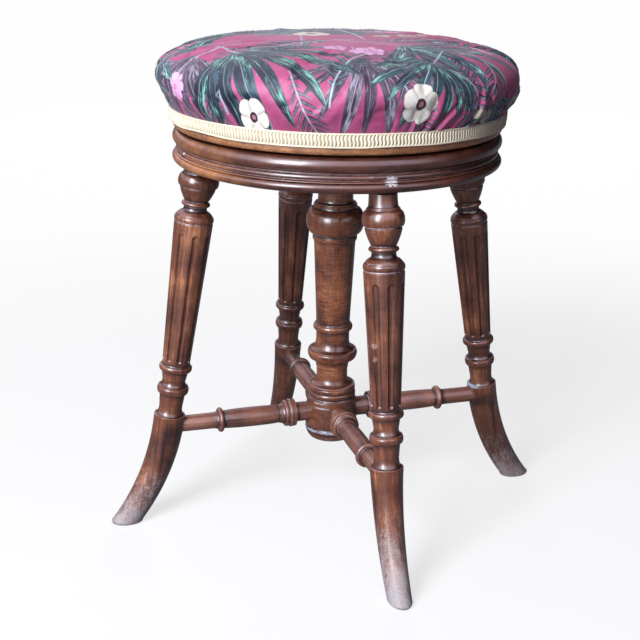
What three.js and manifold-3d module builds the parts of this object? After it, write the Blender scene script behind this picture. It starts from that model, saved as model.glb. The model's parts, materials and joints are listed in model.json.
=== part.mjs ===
// Revolving piano stool: a round stuffed seat on a steel screw, carried by a turned frame.
// The frame is a moulded platform, four fluted legs with outswept sabre feet, a hollow column
// that houses the screw, and four turned stretchers that tie the feet to the column.
// Lengths are in millimetres and angles in degrees. +Z is up, and the origin is on the floor
// under the column. The front leg stands towards -Y. The seat is shown wound right down.

import * as THREE from "three";
import { mergeVertices } from "three/addons/utils/BufferGeometryUtils.js";
import Module from "manifold-3d";

const wasm = await Module();
wasm.setup();

// Clearances
const jointGap = 0.3; // between glued, seated or stacked pieces
const runningGap = 0.4; // between the screw and what it turns or slides in
const cutOverrun = 2; // how far a cutting solid runs past the face that it opens
const mergeDistance = 0.0005; // corners closer than this are one corner
const cutBlockShare = 4; // side of a cutting block, by the reach of the stool

// Legs
const legNames = ["front_leg", "right_leg", "back_leg", "left_leg"];
const legLean = 8; // outward lean of the turned length
const legInset = 25.3; // platform's rim to leg axis, at the platform's underside
const legTurnedLength = 262.9; // platform to foot collar, along the leg
const legBulbRadius = 20.4; // the widest turning, just under the platform
const legShaftTopRadius = 19.4; // fluted shaft at its top
const legShaftFootRadius = 14.1; // fluted shaft at its bottom
const legTenonRadius = 10.5;
const legTenonLength = 24;
const fluteCount = 8;
const fluteWidth = 6;
const fluteDepth = 2.3;
const fluteTopMargin = 9.5; // from the shaft's top to the crown of the arched flutes
const fluteFootMargin = 2.6; // from the bottom of the flutes to the shaft's bottom

// Sabre feet
const footHeight = 116; // floor to the foot collar, at the leg's axis
const footBendRadius = 240; // of the sweep from the collar out to the sole
const footCollarRadius = 16.1;
const soleHalfWidth = 11.5; // across the sweep
const soleHalfDepth = 13; // along the sweep, square to the leg
const soleWidthEase = 0.8; // exponents that say how soon the foot grows slim
const soleDepthEase = 1.5;

// Platform
const platformRadius = 165;
const platformThickness = 35.2;

// Column
const columnRadius = 30.1; // at the bulb
const columnBottomHeight = 75.7; // floor to the column's lower end
const columnTenonRadius = 16.5;
const columnBoreRadius = 13;
const columnFloorThickness = 12; // wood left in the bore under the end of the screw

// Stretchers
const stretcherHeight = 106; // floor to the stretchers' axes
const stretcherRadius = 15.2; // at the collar next to the column
const stretcherLegTenon = 13; // how far a stretcher goes into its leg
const stretcherColumnTenon = 11; // how far a stretcher goes into the column

// Screw, its iron socket and its stop
const screwRadius = 9.5;
const screwSpigotRadius = 7; // riveted end in the seat plate
const screwTailRadius = 6; // reduced end that carries the stop
const seatRise = 100; // travel of the seat from its lowest place
const socketFlangeRadius = 38;
const socketFlangeThickness = 4;
const socketLength = 18; // flange and barrel together
const socketBarrelRadius = 15.2;
const stopWasherThickness = 3;
const stopNutHeight = 8;
const stopNutRadius = 10.6; // to the corners of the hexagon
const screwTailEnd = 3; // thread left showing under the nut

// Wood screws
const screwsPerRing = 4;
const socketScrewCircle = 27;
const socketScrewLength = 18;
const plateScrewCircle = 46;
const plateScrewLength = 15;
const woodScrewHeadRadius = 4;
const woodScrewShankRadius = 2.1;
const woodScrewHeadHeight = 2.2;
const woodScrewPointLength = 4;

// Seat
const seatLift = 2.4; // daylight between the platform and the seat board
const seatPlateRadius = 60;
const seatPlateThickness = 5;
const seatBoardInset = 1.5; // platform's rim to the edge of the board
const seatBoardThickness = 19.4;
const seatBoardRounding = 4; // worn lower edge
const coverThickness = 1.2;
const coverHemHeight = 12; // how far the cover comes down the edge of the board
const cushionOverhang = 14.7; // edge of the board to the cushion's widest line
const cushionWaistHeight = 29.8; // board to the widest line
const cushionCrownHeight = 36.7; // widest line to the crown
const gimpHeight = 13.5;
const gimpThickness = 1.6;
const gimpBow = 0.4; // how far its middle stands proud of its edges

// Shape numbers of the cushion: exponents that say how full its side and its crown are
const sideFullness = 1.6;
const crownBreadth = 3.2;
const crownSquareness = 2.5;

// Facets
const legFacets = 16;
const columnFacets = 20;
const stretcherFacets = 12;
const seatFacets = 40;
const metalFacets = 24;
const hexagonFacets = 6;
const screwFacets = 8;
const pegFacets = 12;
const fluteFacets = 6;
const fluteEndSteps = 2;
const beadSteps = 3;
const coveSteps = 2;
const footSteps = 5;
const sideSteps = 3;
const crownSteps = 8;
const innerSideSteps = 2;
const innerCrownSteps = 4;

// Finishes
const mahogany = () =>
  new THREE.MeshStandardMaterial({ color: 0x5b2f1f, roughness: 0.32, metalness: 0 });
const wornMahogany = () =>
  new THREE.MeshStandardMaterial({ color: 0x7d4a2c, roughness: 0.5, metalness: 0 });
const castIron = () =>
  new THREE.MeshStandardMaterial({ color: 0x2c2a29, roughness: 0.6, metalness: 0.9 });
const brightSteel = () =>
  new THREE.MeshStandardMaterial({ color: 0x8d8b88, roughness: 0.35, metalness: 1 });
const printedCotton = () =>
  new THREE.MeshStandardMaterial({ color: 0xa02a55, roughness: 0.75, metalness: 0 });
const hairStuffing = () =>
  new THREE.MeshStandardMaterial({ color: 0xb9a88a, roughness: 0.95, metalness: 0 });
const creamGimp = () =>
  new THREE.MeshStandardMaterial({ color: 0xd9cba6, roughness: 0.8, metalness: 0 });

// Turned outlines. A turner's members follow each other along a piece. Each row holds the form,
// the share of the length that it takes, the share of the radius that it ends on and, for a bead,
// the share of the radius that it swells to.

const evenly = (count) => Array.from({ length: count }, (_, i) => (i + 1) / count);

/** Straight run at a new radius, reached by a square shoulder. */
function step(points, at, run, end) {
  points.push(new THREE.Vector2(end, at), new THREE.Vector2(end, at + run));
}

/** Straight taper from the present radius. */
function taper(points, at, run, end) {
  points.push(new THREE.Vector2(end, at + run));
}

/** Round moulding that stands proud between two radii. */
function bead(points, at, run, end, swell) {
  const start = points.at(-1).x;
  const proud = swell - Math.max(start, end);
  for (const share of evenly(beadSteps)) {
    const turn = share * Math.PI;
    const along = (1 - Math.cos(turn)) / 2;
    const radius = THREE.MathUtils.lerp(start, end, along) + proud * Math.sin(turn);
    points.push(new THREE.Vector2(radius, at + run * along));
  }
}

/** Hollow moulding, tangent to the axis on its narrow side. */
function cove(points, at, run, end) {
  const start = points.at(-1).x;
  const flares = end > start;
  for (const share of evenly(coveSteps)) {
    const turn = (share * Math.PI) / 2;
    const along = flares ? Math.sin(turn) : 1 - Math.cos(turn);
    const across = flares ? 1 - Math.cos(turn) : Math.sin(turn);
    points.push(new THREE.Vector2(start + (end - start) * across, at + run * along));
  }
}

/** Outline of a turned piece: x is the radius and y the distance along the piece. */
function turnedOutline(length, radius, startShare, members) {
  const points = [new THREE.Vector2(startShare * radius, 0)];
  let at = 0;
  for (const [form, runShare, endShare, swellShare = endShare] of members) {
    const run = runShare * length;
    form(points, at, run, endShare * radius, swellShare * radius);
    at += run;
  }
  return points;
}

const legNeckShare = 0.647;
const legTopShares = [
  [cove, 0.057, 0.725],
  [step, 0.008, 0.78],
  [bead, 0.059, 0.82, 1],
  [taper, 0.034, 0.75],
  [taper, 0.03, 0.55],
  [bead, 0.018, 0.56, 0.7],
  [taper, 0.009, 0.565],
  [cove, 0.0155, 0.69],
  [taper, 0.0155, 0.87],
  [step, 0.006, 0.93],
  [taper, 0.012, 0.965],
  [taper, 0.012, 0.91],
];
const legTopLengthShare = 0.276;
const legShaftFootShare = 0.7755;

// The left leg is another turner's: its bulb sits close under the platform, over a longer shaft
const leftLegTopShares = [
  [cove, 0.0155, 0.74],
  [step, 0.008, 0.79],
  [bead, 0.053, 0.82, 1.02],
  [taper, 0.027, 0.75],
  [taper, 0.0245, 0.55],
  [bead, 0.018, 0.56, 0.7],
  [taper, 0.006, 0.57],
  [cove, 0.0145, 0.69],
  [taper, 0.0145, 0.87],
  [step, 0.006, 0.93],
  [taper, 0.011, 0.965],
  [taper, 0.011, 0.91],
];
const leftLegTopLengthShare = 0.209;
const legFootShares = [
  [bead, 0.029, 0.735, 0.835],
  [step, 0.04, 0.59],
  [cove, 0.027, 0.73],
  [step, 0.006, 0.76],
  [bead, 0.024, 0.73, 0.805],
  [step, 0.057, 0.59],
  [cove, 0.034, 0.73],
];

const columnNeckShare = 0.595;
const columnShares = [
  [step, 0.123, columnNeckShare],
  [taper, 0.015, 0.655],
  [step, 0.01, 0.725],
  [taper, 0.015, 0.745],
  [bead, 0.085, 0.75, 1],
  [step, 0.015, 0.76],
  [cove, 0.033, 0.7],
  [taper, 0.276, 0.585],
  [bead, 0.0235, 0.58, 0.69],
  [step, 0.04, 0.58],
  [cove, 0.038, 0.815],
  [bead, 0.0285, 0.78, 0.89],
  [cove, 0.0335, 0.565],
  [step, 0.037, 0.545],
  [cove, 0.0285, 0.765],
  [step, 0.0115, 0.785],
  [bead, 0.015, 0.8, 0.835],
  [bead, 0.0185, 0.81, 0.85],
  [step, 0.0065, 0.81],
  [bead, 0.1015, 0.915, 0.93],
  [bead, 0.046, 0.765, 0.925],
];
const columnBaseShare = 0.87; // radius of the base where the stretchers enter

const stretcherRootShare = 0.68;
const stretcherShares = [
  [step, 0.165, stretcherRootShare],
  [step, 0.022, 0.96],
  [bead, 0.026, 0.93, 1],
  [step, 0.006, 0.85],
  [bead, 0.024, 0.85, 0.93],
  [cove, 0.035, 0.67],
  [bead, 0.38, 0.6, 0.69],
  [bead, 0.034, 0.66, 0.87],
  [cove, 0.045, 0.56],
];
const stretcherNeckShare = 0.55;

// The platform's rim, from its top down: shares of the thickness and of the radius
const rimTopShare = 0.955;
const rimShares = [
  [bead, 0.372, 0.964, 1],
  [bead, 0.062, 0.964, 0.973],
  [bead, 0.145, 0.966, 0.974],
  [bead, 0.062, 0.984, 0.988],
  [bead, 0.26, 0.965, 1],
  [taper, 0.099, 0.9],
];

// Solids

/** Joins a closed geometry into a solid whose faces point out. */
function solid(geometry) {
  const loose = geometry.index ? geometry.toNonIndexed() : geometry;
  const bare = new THREE.BufferGeometry();
  bare.setAttribute("position", loose.getAttribute("position"));
  const merged = mergeVertices(bare, mergeDistance);
  const index = merged.index.array;
  const kept = [];
  for (let i = 0; i < index.length; i += 3) {
    const corners = [index[i], index[i + 1], index[i + 2]];
    if (new Set(corners).size === corners.length) kept.push(...corners);
  }
  const build = (triangles) =>
    new wasm.Manifold(
      new wasm.Mesh({
        numProp: 3,
        vertProperties: merged.attributes.position.array,
        triVerts: new Uint32Array(triangles),
      }),
    );
  const made = build(kept);
  return made.volume() > 0 ? made : build(kept.toReversed());
}

/** Turns a solid back into a three.js geometry with flat faces. */
function geometryOf(body) {
  const { numProp, vertProperties, triVerts } = body.getMesh();
  const places = new Float32Array(triVerts.length * 3);
  triVerts.forEach((corner, i) => {
    for (let axis = 0; axis < 3; axis += 1) {
      places[i * 3 + axis] = vertProperties[corner * numProp + axis];
    }
  });
  const geometry = new THREE.BufferGeometry();
  geometry.setAttribute("position", new THREE.BufferAttribute(places, 3));
  geometry.computeVertexNormals();
  return geometry;
}

/** Revolves an outline of radius and height about +Z. */
function revolve(outline, facets) {
  return solid(new THREE.LatheGeometry(outline, facets).rotateX(Math.PI / 2));
}

/** Round bar from one height to another, about +Z. */
function bar(radius, low, high, facets) {
  const length = high - low;
  const geometry = new THREE.CylinderGeometry(radius, radius, length, facets);
  return solid(geometry.rotateX(Math.PI / 2).translate(0, 0, (low + high) / 2));
}

/** Closed skin over rings that all have the same number of points. */
function loft(rings) {
  const count = rings[0].length;
  const places = [];
  const triangle = (...corners) => corners.forEach((p) => places.push(p.x, p.y, p.z));
  for (let i = 1; i < rings.length; i += 1) {
    for (let k = 0; k < count; k += 1) {
      const next = (k + 1) % count;
      triangle(rings[i - 1][k], rings[i - 1][next], rings[i][next]);
      triangle(rings[i - 1][k], rings[i][next], rings[i][k]);
    }
  }
  for (const [ring, flip] of [[rings[0], true], [rings.at(-1), false]]) {
    for (let k = 1; k < count - 1; k += 1) {
      if (flip) triangle(ring[0], ring[k + 1], ring[k]);
      else triangle(ring[0], ring[k], ring[k + 1]);
    }
  }
  const geometry = new THREE.BufferGeometry();
  geometry.setAttribute("position", new THREE.Float32BufferAttribute(places, 3));
  return solid(geometry);
}

/** Moves a solid by a matrix. */
function moved(body, matrix) {
  return body.transform(matrix.elements);
}

/** Matrix that puts +Z of a solid along a direction, with its origin at a place. */
function aim(place, direction) {
  const turn = new THREE.Quaternion().setFromUnitVectors(new THREE.Vector3(0, 0, 1), direction);
  return new THREE.Matrix4().compose(place, turn, new THREE.Vector3(1, 1, 1));
}

const quarterTurn = (index) => new THREE.Matrix4().makeRotationZ((index * 2 * Math.PI) / legNames.length);

/** A block wider than the whole stool that lies above or below a height. */
function halfSpace(height, above) {
  const size = cutBlockShare * (footReach + platformRadius);
  const geometry = new THREE.BoxGeometry(size, size, size);
  return solid(geometry.translate(0, 0, height + (above ? size : -size) / 2));
}

// Places that several pieces share

const lean = THREE.MathUtils.degToRad(legLean);
const legSpread = platformRadius - legInset;
const legDirection = new THREE.Vector3(0, -Math.sin(lean), -Math.cos(lean));
const platformUnderside = footHeight + legTurnedLength * Math.cos(lean);
const platformTop = platformUnderside + platformThickness;
const legTop = new THREE.Vector3(0, -legSpread, platformUnderside);
const footTop = legTop.clone().addScaledVector(legDirection, legTurnedLength);
const soleAngle = Math.asin(Math.sin(lean) + footHeight / footBendRadius);
const footReach = -footTop.y + footBendRadius * (Math.cos(lean) - Math.cos(soleAngle));

/** Centre and direction of the foot's sweep at an angle from upright. */
function footPath(angle) {
  const out = footBendRadius * (Math.cos(lean) - Math.cos(angle));
  const down = footBendRadius * (Math.sin(angle) - Math.sin(lean));
  const centre = footTop.clone().add(new THREE.Vector3(0, -out, -down));
  return { centre, direction: new THREE.Vector3(0, -Math.sin(angle), -Math.cos(angle)) };
}

const stretcherAngle = Math.asin(Math.sin(lean) + (footHeight - stretcherHeight) / footBendRadius);
const legAxisAtStretcher = -footPath(stretcherAngle).centre.y;
const stretcherOuterEnd = legAxisAtStretcher - footCollarRadius + stretcherLegTenon;
const columnBaseRadius = columnRadius * columnBaseShare;
const stretcherInnerEnd = columnBaseRadius - stretcherColumnTenon;

const socketBottom = platformTop - socketLength;
const screwShoulder = socketBottom - seatRise - jointGap;
const washerTop = screwShoulder - jointGap;
const stopNutTop = washerTop - stopWasherThickness - jointGap;
const screwEnd = stopNutTop - stopNutHeight - screwTailEnd;
const boreFloor = screwEnd - columnFloorThickness;

const seatBoardRadius = platformRadius - seatBoardInset;
const cushionRadius = seatBoardRadius + cushionOverhang;
const seatBoardUnderside = platformTop + seatLift;
const seatPlateUnderside = platformTop + jointGap;
const seatPlateTop = seatPlateUnderside + seatPlateThickness;
const seatBoardTop = seatBoardUnderside + seatBoardThickness;
const cushionWaist = seatBoardTop + cushionWaistHeight;

// Wood screws

/** Countersunk wood screw with its head flush at z = 0 and its point down, grown by a gap. */
function woodScrew(length, gap = 0) {
  const head = woodScrewHeadRadius + gap;
  const shank = woodScrewShankRadius + gap;
  const outline = [
    new THREE.Vector2(0, -length - gap),
    new THREE.Vector2(shank, woodScrewPointLength - length - gap),
    new THREE.Vector2(shank, -woodScrewHeadHeight - gap),
    new THREE.Vector2(head, 0),
    new THREE.Vector2(0, 0),
  ];
  return revolve(outline, screwFacets);
}

/** Places of the screws of a ring, between the legs. */
function screwPlaces(circle, height) {
  return Array.from({ length: screwsPerRing }, (_, i) => {
    const angle = ((i + 1 / 2) * 2 * Math.PI) / screwsPerRing;
    return new THREE.Vector3(circle * Math.cos(angle), circle * Math.sin(angle), height);
  });
}

const up = new THREE.Vector3(0, 0, 1);
const down = new THREE.Vector3(0, 0, -1);
const socketScrews = screwPlaces(socketScrewCircle, platformTop).map((p) => aim(p, up));
const plateScrews = screwPlaces(plateScrewCircle, seatPlateUnderside).map((p) => aim(p, down));

/** Cuts the holes of a ring of screws out of a body. */
function drilled(body, places, length) {
  const mouth = bar(woodScrewHeadRadius + jointGap, -jointGap, cutOverrun, screwFacets);
  const hole = woodScrew(length, jointGap).add(mouth);
  return places.reduce((rest, place) => rest.subtract(moved(hole, place)), body);
}

// Legs

/** Radius of the turned leg at each member, from the platform to the foot collar. */
function legOutline(topShares, topLengthShare) {
  const top = turnedOutline(legTurnedLength, legBulbRadius, legNeckShare, topShares);
  const shaftTop = topLengthShare * legTurnedLength;
  const shaftFoot = legShaftFootShare * legTurnedLength;
  const shaft = [
    new THREE.Vector2(legShaftTopRadius, shaftTop),
    new THREE.Vector2(legShaftFootRadius, shaftFoot),
  ];
  const startShare = legShaftFootRadius / legBulbRadius;
  const foot = turnedOutline(legTurnedLength, legBulbRadius, startShare, legFootShares).slice(1);
  foot.forEach((point) => (point.y += shaftFoot));
  const collar = [
    new THREE.Vector2(footCollarRadius, foot.at(-1).y),
    new THREE.Vector2(footCollarRadius, legTurnedLength),
  ];
  return [...top, ...shaft, ...foot, ...collar];
}

/** Ring of points round a centre, square to a direction in the plane of the leg. */
function legRing(centre, direction, halfWidth, halfDepth) {
  const across = new THREE.Vector3(1, 0, 0);
  const along = new THREE.Vector3().crossVectors(across, direction);
  return Array.from({ length: legFacets }, (_, k) => {
    const turn = (k * 2 * Math.PI) / legFacets;
    return centre
      .clone()
      .addScaledVector(across, halfWidth * Math.cos(turn))
      .addScaledVector(along, halfDepth * Math.sin(turn));
  });
}

/** One long scoop with round ends, laid along the tapered shaft on the side towards +X. */
function fluteCutter(topLengthShare) {
  const cutterRadius = ((fluteWidth / 2) ** 2 + fluteDepth ** 2) / (2 * fluteDepth);
  const shaftTop = topLengthShare * legTurnedLength;
  const shaftLength = legShaftFootShare * legTurnedLength - shaftTop;
  const slope = Math.atan((legShaftTopRadius - legShaftFootRadius) / shaftLength);
  const length = (shaftLength - fluteTopMargin - fluteFootMargin) / Math.cos(slope);
  const middle = shaftTop + fluteTopMargin + (length * Math.cos(slope)) / 2;
  const share = (middle - shaftTop) / shaftLength;
  const surface = THREE.MathUtils.lerp(legShaftTopRadius, legShaftFootRadius, share);
  const straight = length - fluteWidth;
  const capsule = new THREE.CapsuleGeometry(cutterRadius, straight, fluteEndSteps, fluteFacets);
  const offset = (cutterRadius - fluteDepth) / Math.cos(slope);
  capsule.rotateX(-Math.PI / 2).rotateY(slope).translate(surface + offset, 0, middle);
  return solid(capsule);
}

/** Matrix from a leg's own frame, with +Z down its axis, to its place at the front. */
const legFrame = aim(legTop, legDirection);

/** Front leg: turned and fluted above, swept out to the floor below. */
function leg(topShares, topLengthShare) {
  const outline = legOutline(topShares, topLengthShare);
  const rings = outline.map(({ x: radius, y: along }) => {
    const centre = legTop.clone().addScaledVector(legDirection, along);
    return legRing(centre, legDirection, radius, radius);
  });
  const topRadius = outline[0].x;
  const above = legTop.clone().addScaledVector(legDirection, -legTenonRadius);
  rings.unshift(legRing(above, legDirection, topRadius, topRadius));
  const floorAngle = soleAngle + (soleAngle - lean) / footSteps;
  for (const share of evenly(footSteps + 1)) {
    const { centre, direction } = footPath(THREE.MathUtils.lerp(lean, floorAngle, share));
    const swept = Math.min(share * (1 + 1 / footSteps), 1);
    const halfWidth = THREE.MathUtils.lerp(footCollarRadius, soleHalfWidth, swept ** soleWidthEase);
    const halfDepth = THREE.MathUtils.lerp(footCollarRadius, soleHalfDepth, swept ** soleDepthEase);
    rings.push(legRing(centre, direction, halfWidth, halfDepth));
  }
  let body = loft(rings);
  const flute = fluteCutter(topLengthShare);
  for (let k = 0; k < fluteCount; k += 1) {
    const turn = new THREE.Matrix4().makeRotationZ((k * 2 * Math.PI) / fluteCount);
    body = body.subtract(moved(flute, legFrame.clone().multiply(turn)));
  }
  body = body.subtract(halfSpace(platformUnderside - jointGap, true));
  body = body.subtract(halfSpace(0, false));
  body = body.add(legTenon(0));
  return body.subtract(stretcherSocket());
}

/** Round tenon on the head of a leg, grown by a gap to make its mortise. */
function legTenon(gap) {
  const tenon = bar(legTenonRadius + gap, -legTenonLength - gap, legTenonRadius, pegFacets);
  return moved(tenon, legFrame);
}

// Stretchers

/** Front stretcher, from inside the column to inside the leg. */
function stretcher() {
  const length = stretcherOuterEnd - stretcherInnerEnd;
  const outline = turnedOutline(length, stretcherRadius, stretcherRootShare, stretcherShares);
  const neck = stretcherNeckShare * stretcherRadius;
  const closed = [
    new THREE.Vector2(0, 0),
    ...outline,
    new THREE.Vector2(neck, length),
    new THREE.Vector2(0, length),
  ];
  return moved(revolve(closed, stretcherFacets), stretcherFrame);
}

const stretcherFrame = aim(
  new THREE.Vector3(0, -stretcherInnerEnd, stretcherHeight),
  new THREE.Vector3(0, -1, 0),
);

/** Mortise for a stretcher's outer end. */
function stretcherSocket() {
  const length = stretcherOuterEnd - stretcherInnerEnd;
  const neck = stretcherNeckShare * stretcherRadius + jointGap;
  const start = length - stretcherLegTenon - footCollarRadius;
  return moved(bar(neck, start, length + jointGap, stretcherFacets), stretcherFrame);
}

/** Mortise for a stretcher's inner end. */
function columnSocket() {
  const root = stretcherRootShare * stretcherRadius + jointGap;
  const end = stretcherColumnTenon + columnRadius;
  return moved(bar(root, -jointGap, end, stretcherFacets), stretcherFrame);
}

// Column

/** Hollow turned column with its tenon up in the platform and four mortises in its base. */
function column() {
  const length = platformUnderside - jointGap - columnBottomHeight;
  const outline = turnedOutline(length, columnRadius, columnNeckShare, columnShares);
  const tenonTop = socketBottom - jointGap;
  const closed = [
    new THREE.Vector2(columnBoreRadius, tenonTop),
    new THREE.Vector2(columnTenonRadius, tenonTop),
    new THREE.Vector2(columnTenonRadius, columnBottomHeight + length),
    ...outline.map(({ x, y }) => new THREE.Vector2(x, columnBottomHeight + length - y)),
    new THREE.Vector2(0, columnBottomHeight),
    new THREE.Vector2(0, boreFloor),
    new THREE.Vector2(columnBoreRadius, boreFloor),
    new THREE.Vector2(columnBoreRadius, tenonTop),
  ];
  let body = revolve(closed, columnFacets);
  for (let k = 0; k < legNames.length; k += 1) {
    body = body.subtract(moved(columnSocket(), quarterTurn(k)));
  }
  return body;
}

// Platform

/** Moulded round platform, with mortises for the legs and column and a seat for the socket. */
function platform() {
  const outline = turnedOutline(platformThickness, platformRadius, rimTopShare, rimShares);
  const profile = outline.map(({ x, y }) => new THREE.Vector2(x, platformTop - y));
  const recess = platformTop - socketFlangeThickness - jointGap;
  const disc = revolve(
    [
      new THREE.Vector2(0, platformTop),
      ...profile,
      new THREE.Vector2(0, platformUnderside),
    ],
    seatFacets,
  );
  const low = platformUnderside - cutOverrun;
  const high = platformTop + cutOverrun;
  let body = disc
    .subtract(bar(columnTenonRadius + jointGap, low, socketBottom, columnFacets))
    .subtract(bar(socketBarrelRadius + jointGap, low, high, metalFacets))
    .subtract(bar(socketFlangeRadius + jointGap, recess, high, metalFacets));
  for (let k = 0; k < legNames.length; k += 1) {
    body = body.subtract(moved(legTenon(jointGap), quarterTurn(k)));
  }
  return drilled(body, socketScrews, socketScrewLength);
}

// Screw, socket and stop

/** Flanged iron socket that the seat's screw winds in. */
function screwSocket() {
  const bore = screwRadius + runningGap;
  const flangeUnderside = platformTop - socketFlangeThickness;
  const closed = [
    new THREE.Vector2(bore, platformTop),
    new THREE.Vector2(bore, socketBottom),
    new THREE.Vector2(socketBarrelRadius, socketBottom),
    new THREE.Vector2(socketBarrelRadius, flangeUnderside),
    new THREE.Vector2(socketFlangeRadius, flangeUnderside),
    new THREE.Vector2(socketFlangeRadius, platformTop),
    new THREE.Vector2(bore, platformTop),
  ];
  return drilled(revolve(closed, metalFacets), socketScrews, socketScrewLength);
}

/** Steel screw with a riveted head in the seat plate and a reduced tail for its stop. */
function seatScrew() {
  const outline = [
    new THREE.Vector2(0, screwEnd),
    new THREE.Vector2(screwTailRadius, screwEnd),
    new THREE.Vector2(screwTailRadius, screwShoulder),
    new THREE.Vector2(screwRadius, screwShoulder),
    new THREE.Vector2(screwRadius, seatPlateUnderside - jointGap),
    new THREE.Vector2(screwSpigotRadius, seatPlateUnderside - jointGap),
    new THREE.Vector2(screwSpigotRadius, seatPlateTop),
    new THREE.Vector2(0, seatPlateTop),
  ];
  return revolve(outline, metalFacets);
}

/** Flat ring between two heights. */
function ring(inner, outer, low, high, facets) {
  return revolve(
    [
      new THREE.Vector2(inner, low),
      new THREE.Vector2(outer, low),
      new THREE.Vector2(outer, high),
      new THREE.Vector2(inner, high),
      new THREE.Vector2(inner, low),
    ],
    facets,
  );
}

/** Loose washer that meets the socket when the seat is wound right up. */
function stopWasher() {
  const hole = screwTailRadius + runningGap;
  const rim = columnBoreRadius - runningGap;
  return ring(hole, rim, washerTop - stopWasherThickness, washerTop, metalFacets);
}

/** Hexagon nut that keeps the washer on the screw. */
function stopNut() {
  const hexagon = bar(stopNutRadius, stopNutTop - stopNutHeight, stopNutTop, hexagonFacets);
  const low = stopNutTop - stopNutHeight - cutOverrun;
  const hole = bar(screwTailRadius + jointGap, low, stopNutTop + cutOverrun, metalFacets);
  return hexagon.subtract(hole);
}

// Seat

/** Round iron plate let into the underside of the seat board. */
function seatPlate() {
  const hole = screwSpigotRadius + jointGap;
  const plate = ring(hole, seatPlateRadius, seatPlateUnderside, seatPlateTop, metalFacets);
  return drilled(plate, plateScrews, plateScrewLength);
}

/** Round seat board with a worn lower edge and a recess for the plate. */
function seatBoard() {
  const recessTop = seatPlateTop + jointGap;
  const recessRadius = seatPlateRadius + jointGap;
  const outline = [
    new THREE.Vector2(0, recessTop),
    new THREE.Vector2(recessRadius, recessTop),
    new THREE.Vector2(recessRadius, seatBoardUnderside),
    new THREE.Vector2(seatBoardRadius - seatBoardRounding, seatBoardUnderside),
  ];
  for (const share of evenly(coveSteps + 1)) {
    const turn = (share * Math.PI) / 2;
    const out = seatBoardRadius - seatBoardRounding * (1 - Math.sin(turn));
    const rise = seatBoardUnderside + seatBoardRounding * (1 - Math.cos(turn));
    outline.push(new THREE.Vector2(out, rise));
  }
  outline.push(new THREE.Vector2(seatBoardRadius, seatBoardTop), new THREE.Vector2(0, seatBoardTop));
  return drilled(revolve(outline, seatFacets), plateScrews, plateScrewLength);
}

const coverRadius = seatBoardRadius + jointGap + coverThickness; // cover on the board's edge

/** Outline of the cushion from a start height up to its crown, drawn in by an inset. */
function cushionOutline(inset, stepsUp, stepsOver) {
  const neck = coverRadius - inset;
  const widest = cushionRadius - inset;
  const points = [new THREE.Vector2(neck, seatBoardTop)];
  for (const share of evenly(stepsUp)) {
    const radius = neck + (widest - neck) * (1 - (1 - share) ** sideFullness);
    points.push(new THREE.Vector2(radius, seatBoardTop + cushionWaistHeight * share));
  }
  const crown = cushionCrownHeight - inset;
  for (const share of evenly(stepsOver)) {
    const radius = widest * Math.cos((share * Math.PI) / 2) ** 0.5;
    const height = (1 - (radius / widest) ** crownBreadth) ** (1 / crownSquareness);
    points.push(new THREE.Vector2(share === 1 ? 0 : radius, cushionWaist + crown * height));
  }
  return points;
}

/** Printed cover: one skin over the stuffing, brought down the edge of the board. */
function cushionCover() {
  const hem = seatBoardTop - coverHemHeight;
  const outer = cushionOutline(0, sideSteps, crownSteps);
  const inner = cushionOutline(coverThickness, innerSideSteps, innerCrownSteps).toReversed();
  return revolve(
    [
      new THREE.Vector2(coverRadius - coverThickness, hem),
      new THREE.Vector2(coverRadius, hem),
      ...outer,
      ...inner,
      new THREE.Vector2(coverRadius - coverThickness, hem),
    ],
    seatFacets,
  );
}

/** Stuffing under the cover. */
function stuffing() {
  const base = seatBoardTop + jointGap;
  const skin = cushionOutline(coverThickness + jointGap, innerSideSteps, innerCrownSteps);
  skin[0].y = base;
  return revolve([new THREE.Vector2(0, base), ...skin], seatFacets);
}

/** Braid glued over the hem of the cover, leaning out with it above the board. */
function gimp() {
  const low = seatBoardTop - coverHemHeight;
  const top = low + gimpHeight;
  const inner = coverRadius + jointGap;
  const outer = inner + gimpThickness;
  const lift = Math.max(top - seatBoardTop, 0) / cushionWaistHeight;
  const flare = (cushionRadius - coverRadius) * (1 - (1 - lift) ** sideFullness);
  return revolve(
    [
      new THREE.Vector2(inner, low),
      new THREE.Vector2(outer - gimpBow, low),
      new THREE.Vector2(outer, low + gimpHeight / 2),
      new THREE.Vector2(outer + flare - gimpBow, top),
      new THREE.Vector2(inner + flare, top),
      new THREE.Vector2(inner, Math.min(seatBoardTop, top - gimpBow)),
      new THREE.Vector2(inner, low),
    ],
    seatFacets,
  );
}

// Assembly

const stool = new THREE.Group();

/** Adds one named piece. */
function add(name, body, material) {
  const mesh = new THREE.Mesh(geometryOf(body), material);
  mesh.name = name;
  stool.add(mesh);
  return mesh;
}

const usualLeg = leg(legTopShares, legTopLengthShare);
const leftLeg = leg(leftLegTopShares, leftLegTopLengthShare);
const frontStretcher = stretcher();
legNames.forEach((name, index) => {
  const turn = (index * 2 * Math.PI) / legNames.length;
  add(name, name === "left_leg" ? leftLeg : usualLeg, mahogany()).rotation.z = turn;
  add(name.replace("leg", "stretcher"), frontStretcher, mahogany()).rotation.z = turn;
});
add("platform", platform(), mahogany());
add("column", column(), mahogany());
add("screw_socket", screwSocket(), castIron());
add("seat_screw", seatScrew(), brightSteel());
add("stop_washer", stopWasher(), brightSteel());
add("stop_nut", stopNut(), brightSteel());
add("seat_plate", seatPlate(), castIron());
add("seat_board", seatBoard(), wornMahogany());
add("stuffing", stuffing(), hairStuffing());
add("cushion_cover", cushionCover(), printedCotton());
add("gimp", gimp(), creamGimp());
socketScrews.forEach((place, index) => {
  add(`socket_screw_${index + 1}`, moved(woodScrew(socketScrewLength), place), brightSteel());
});
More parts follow.
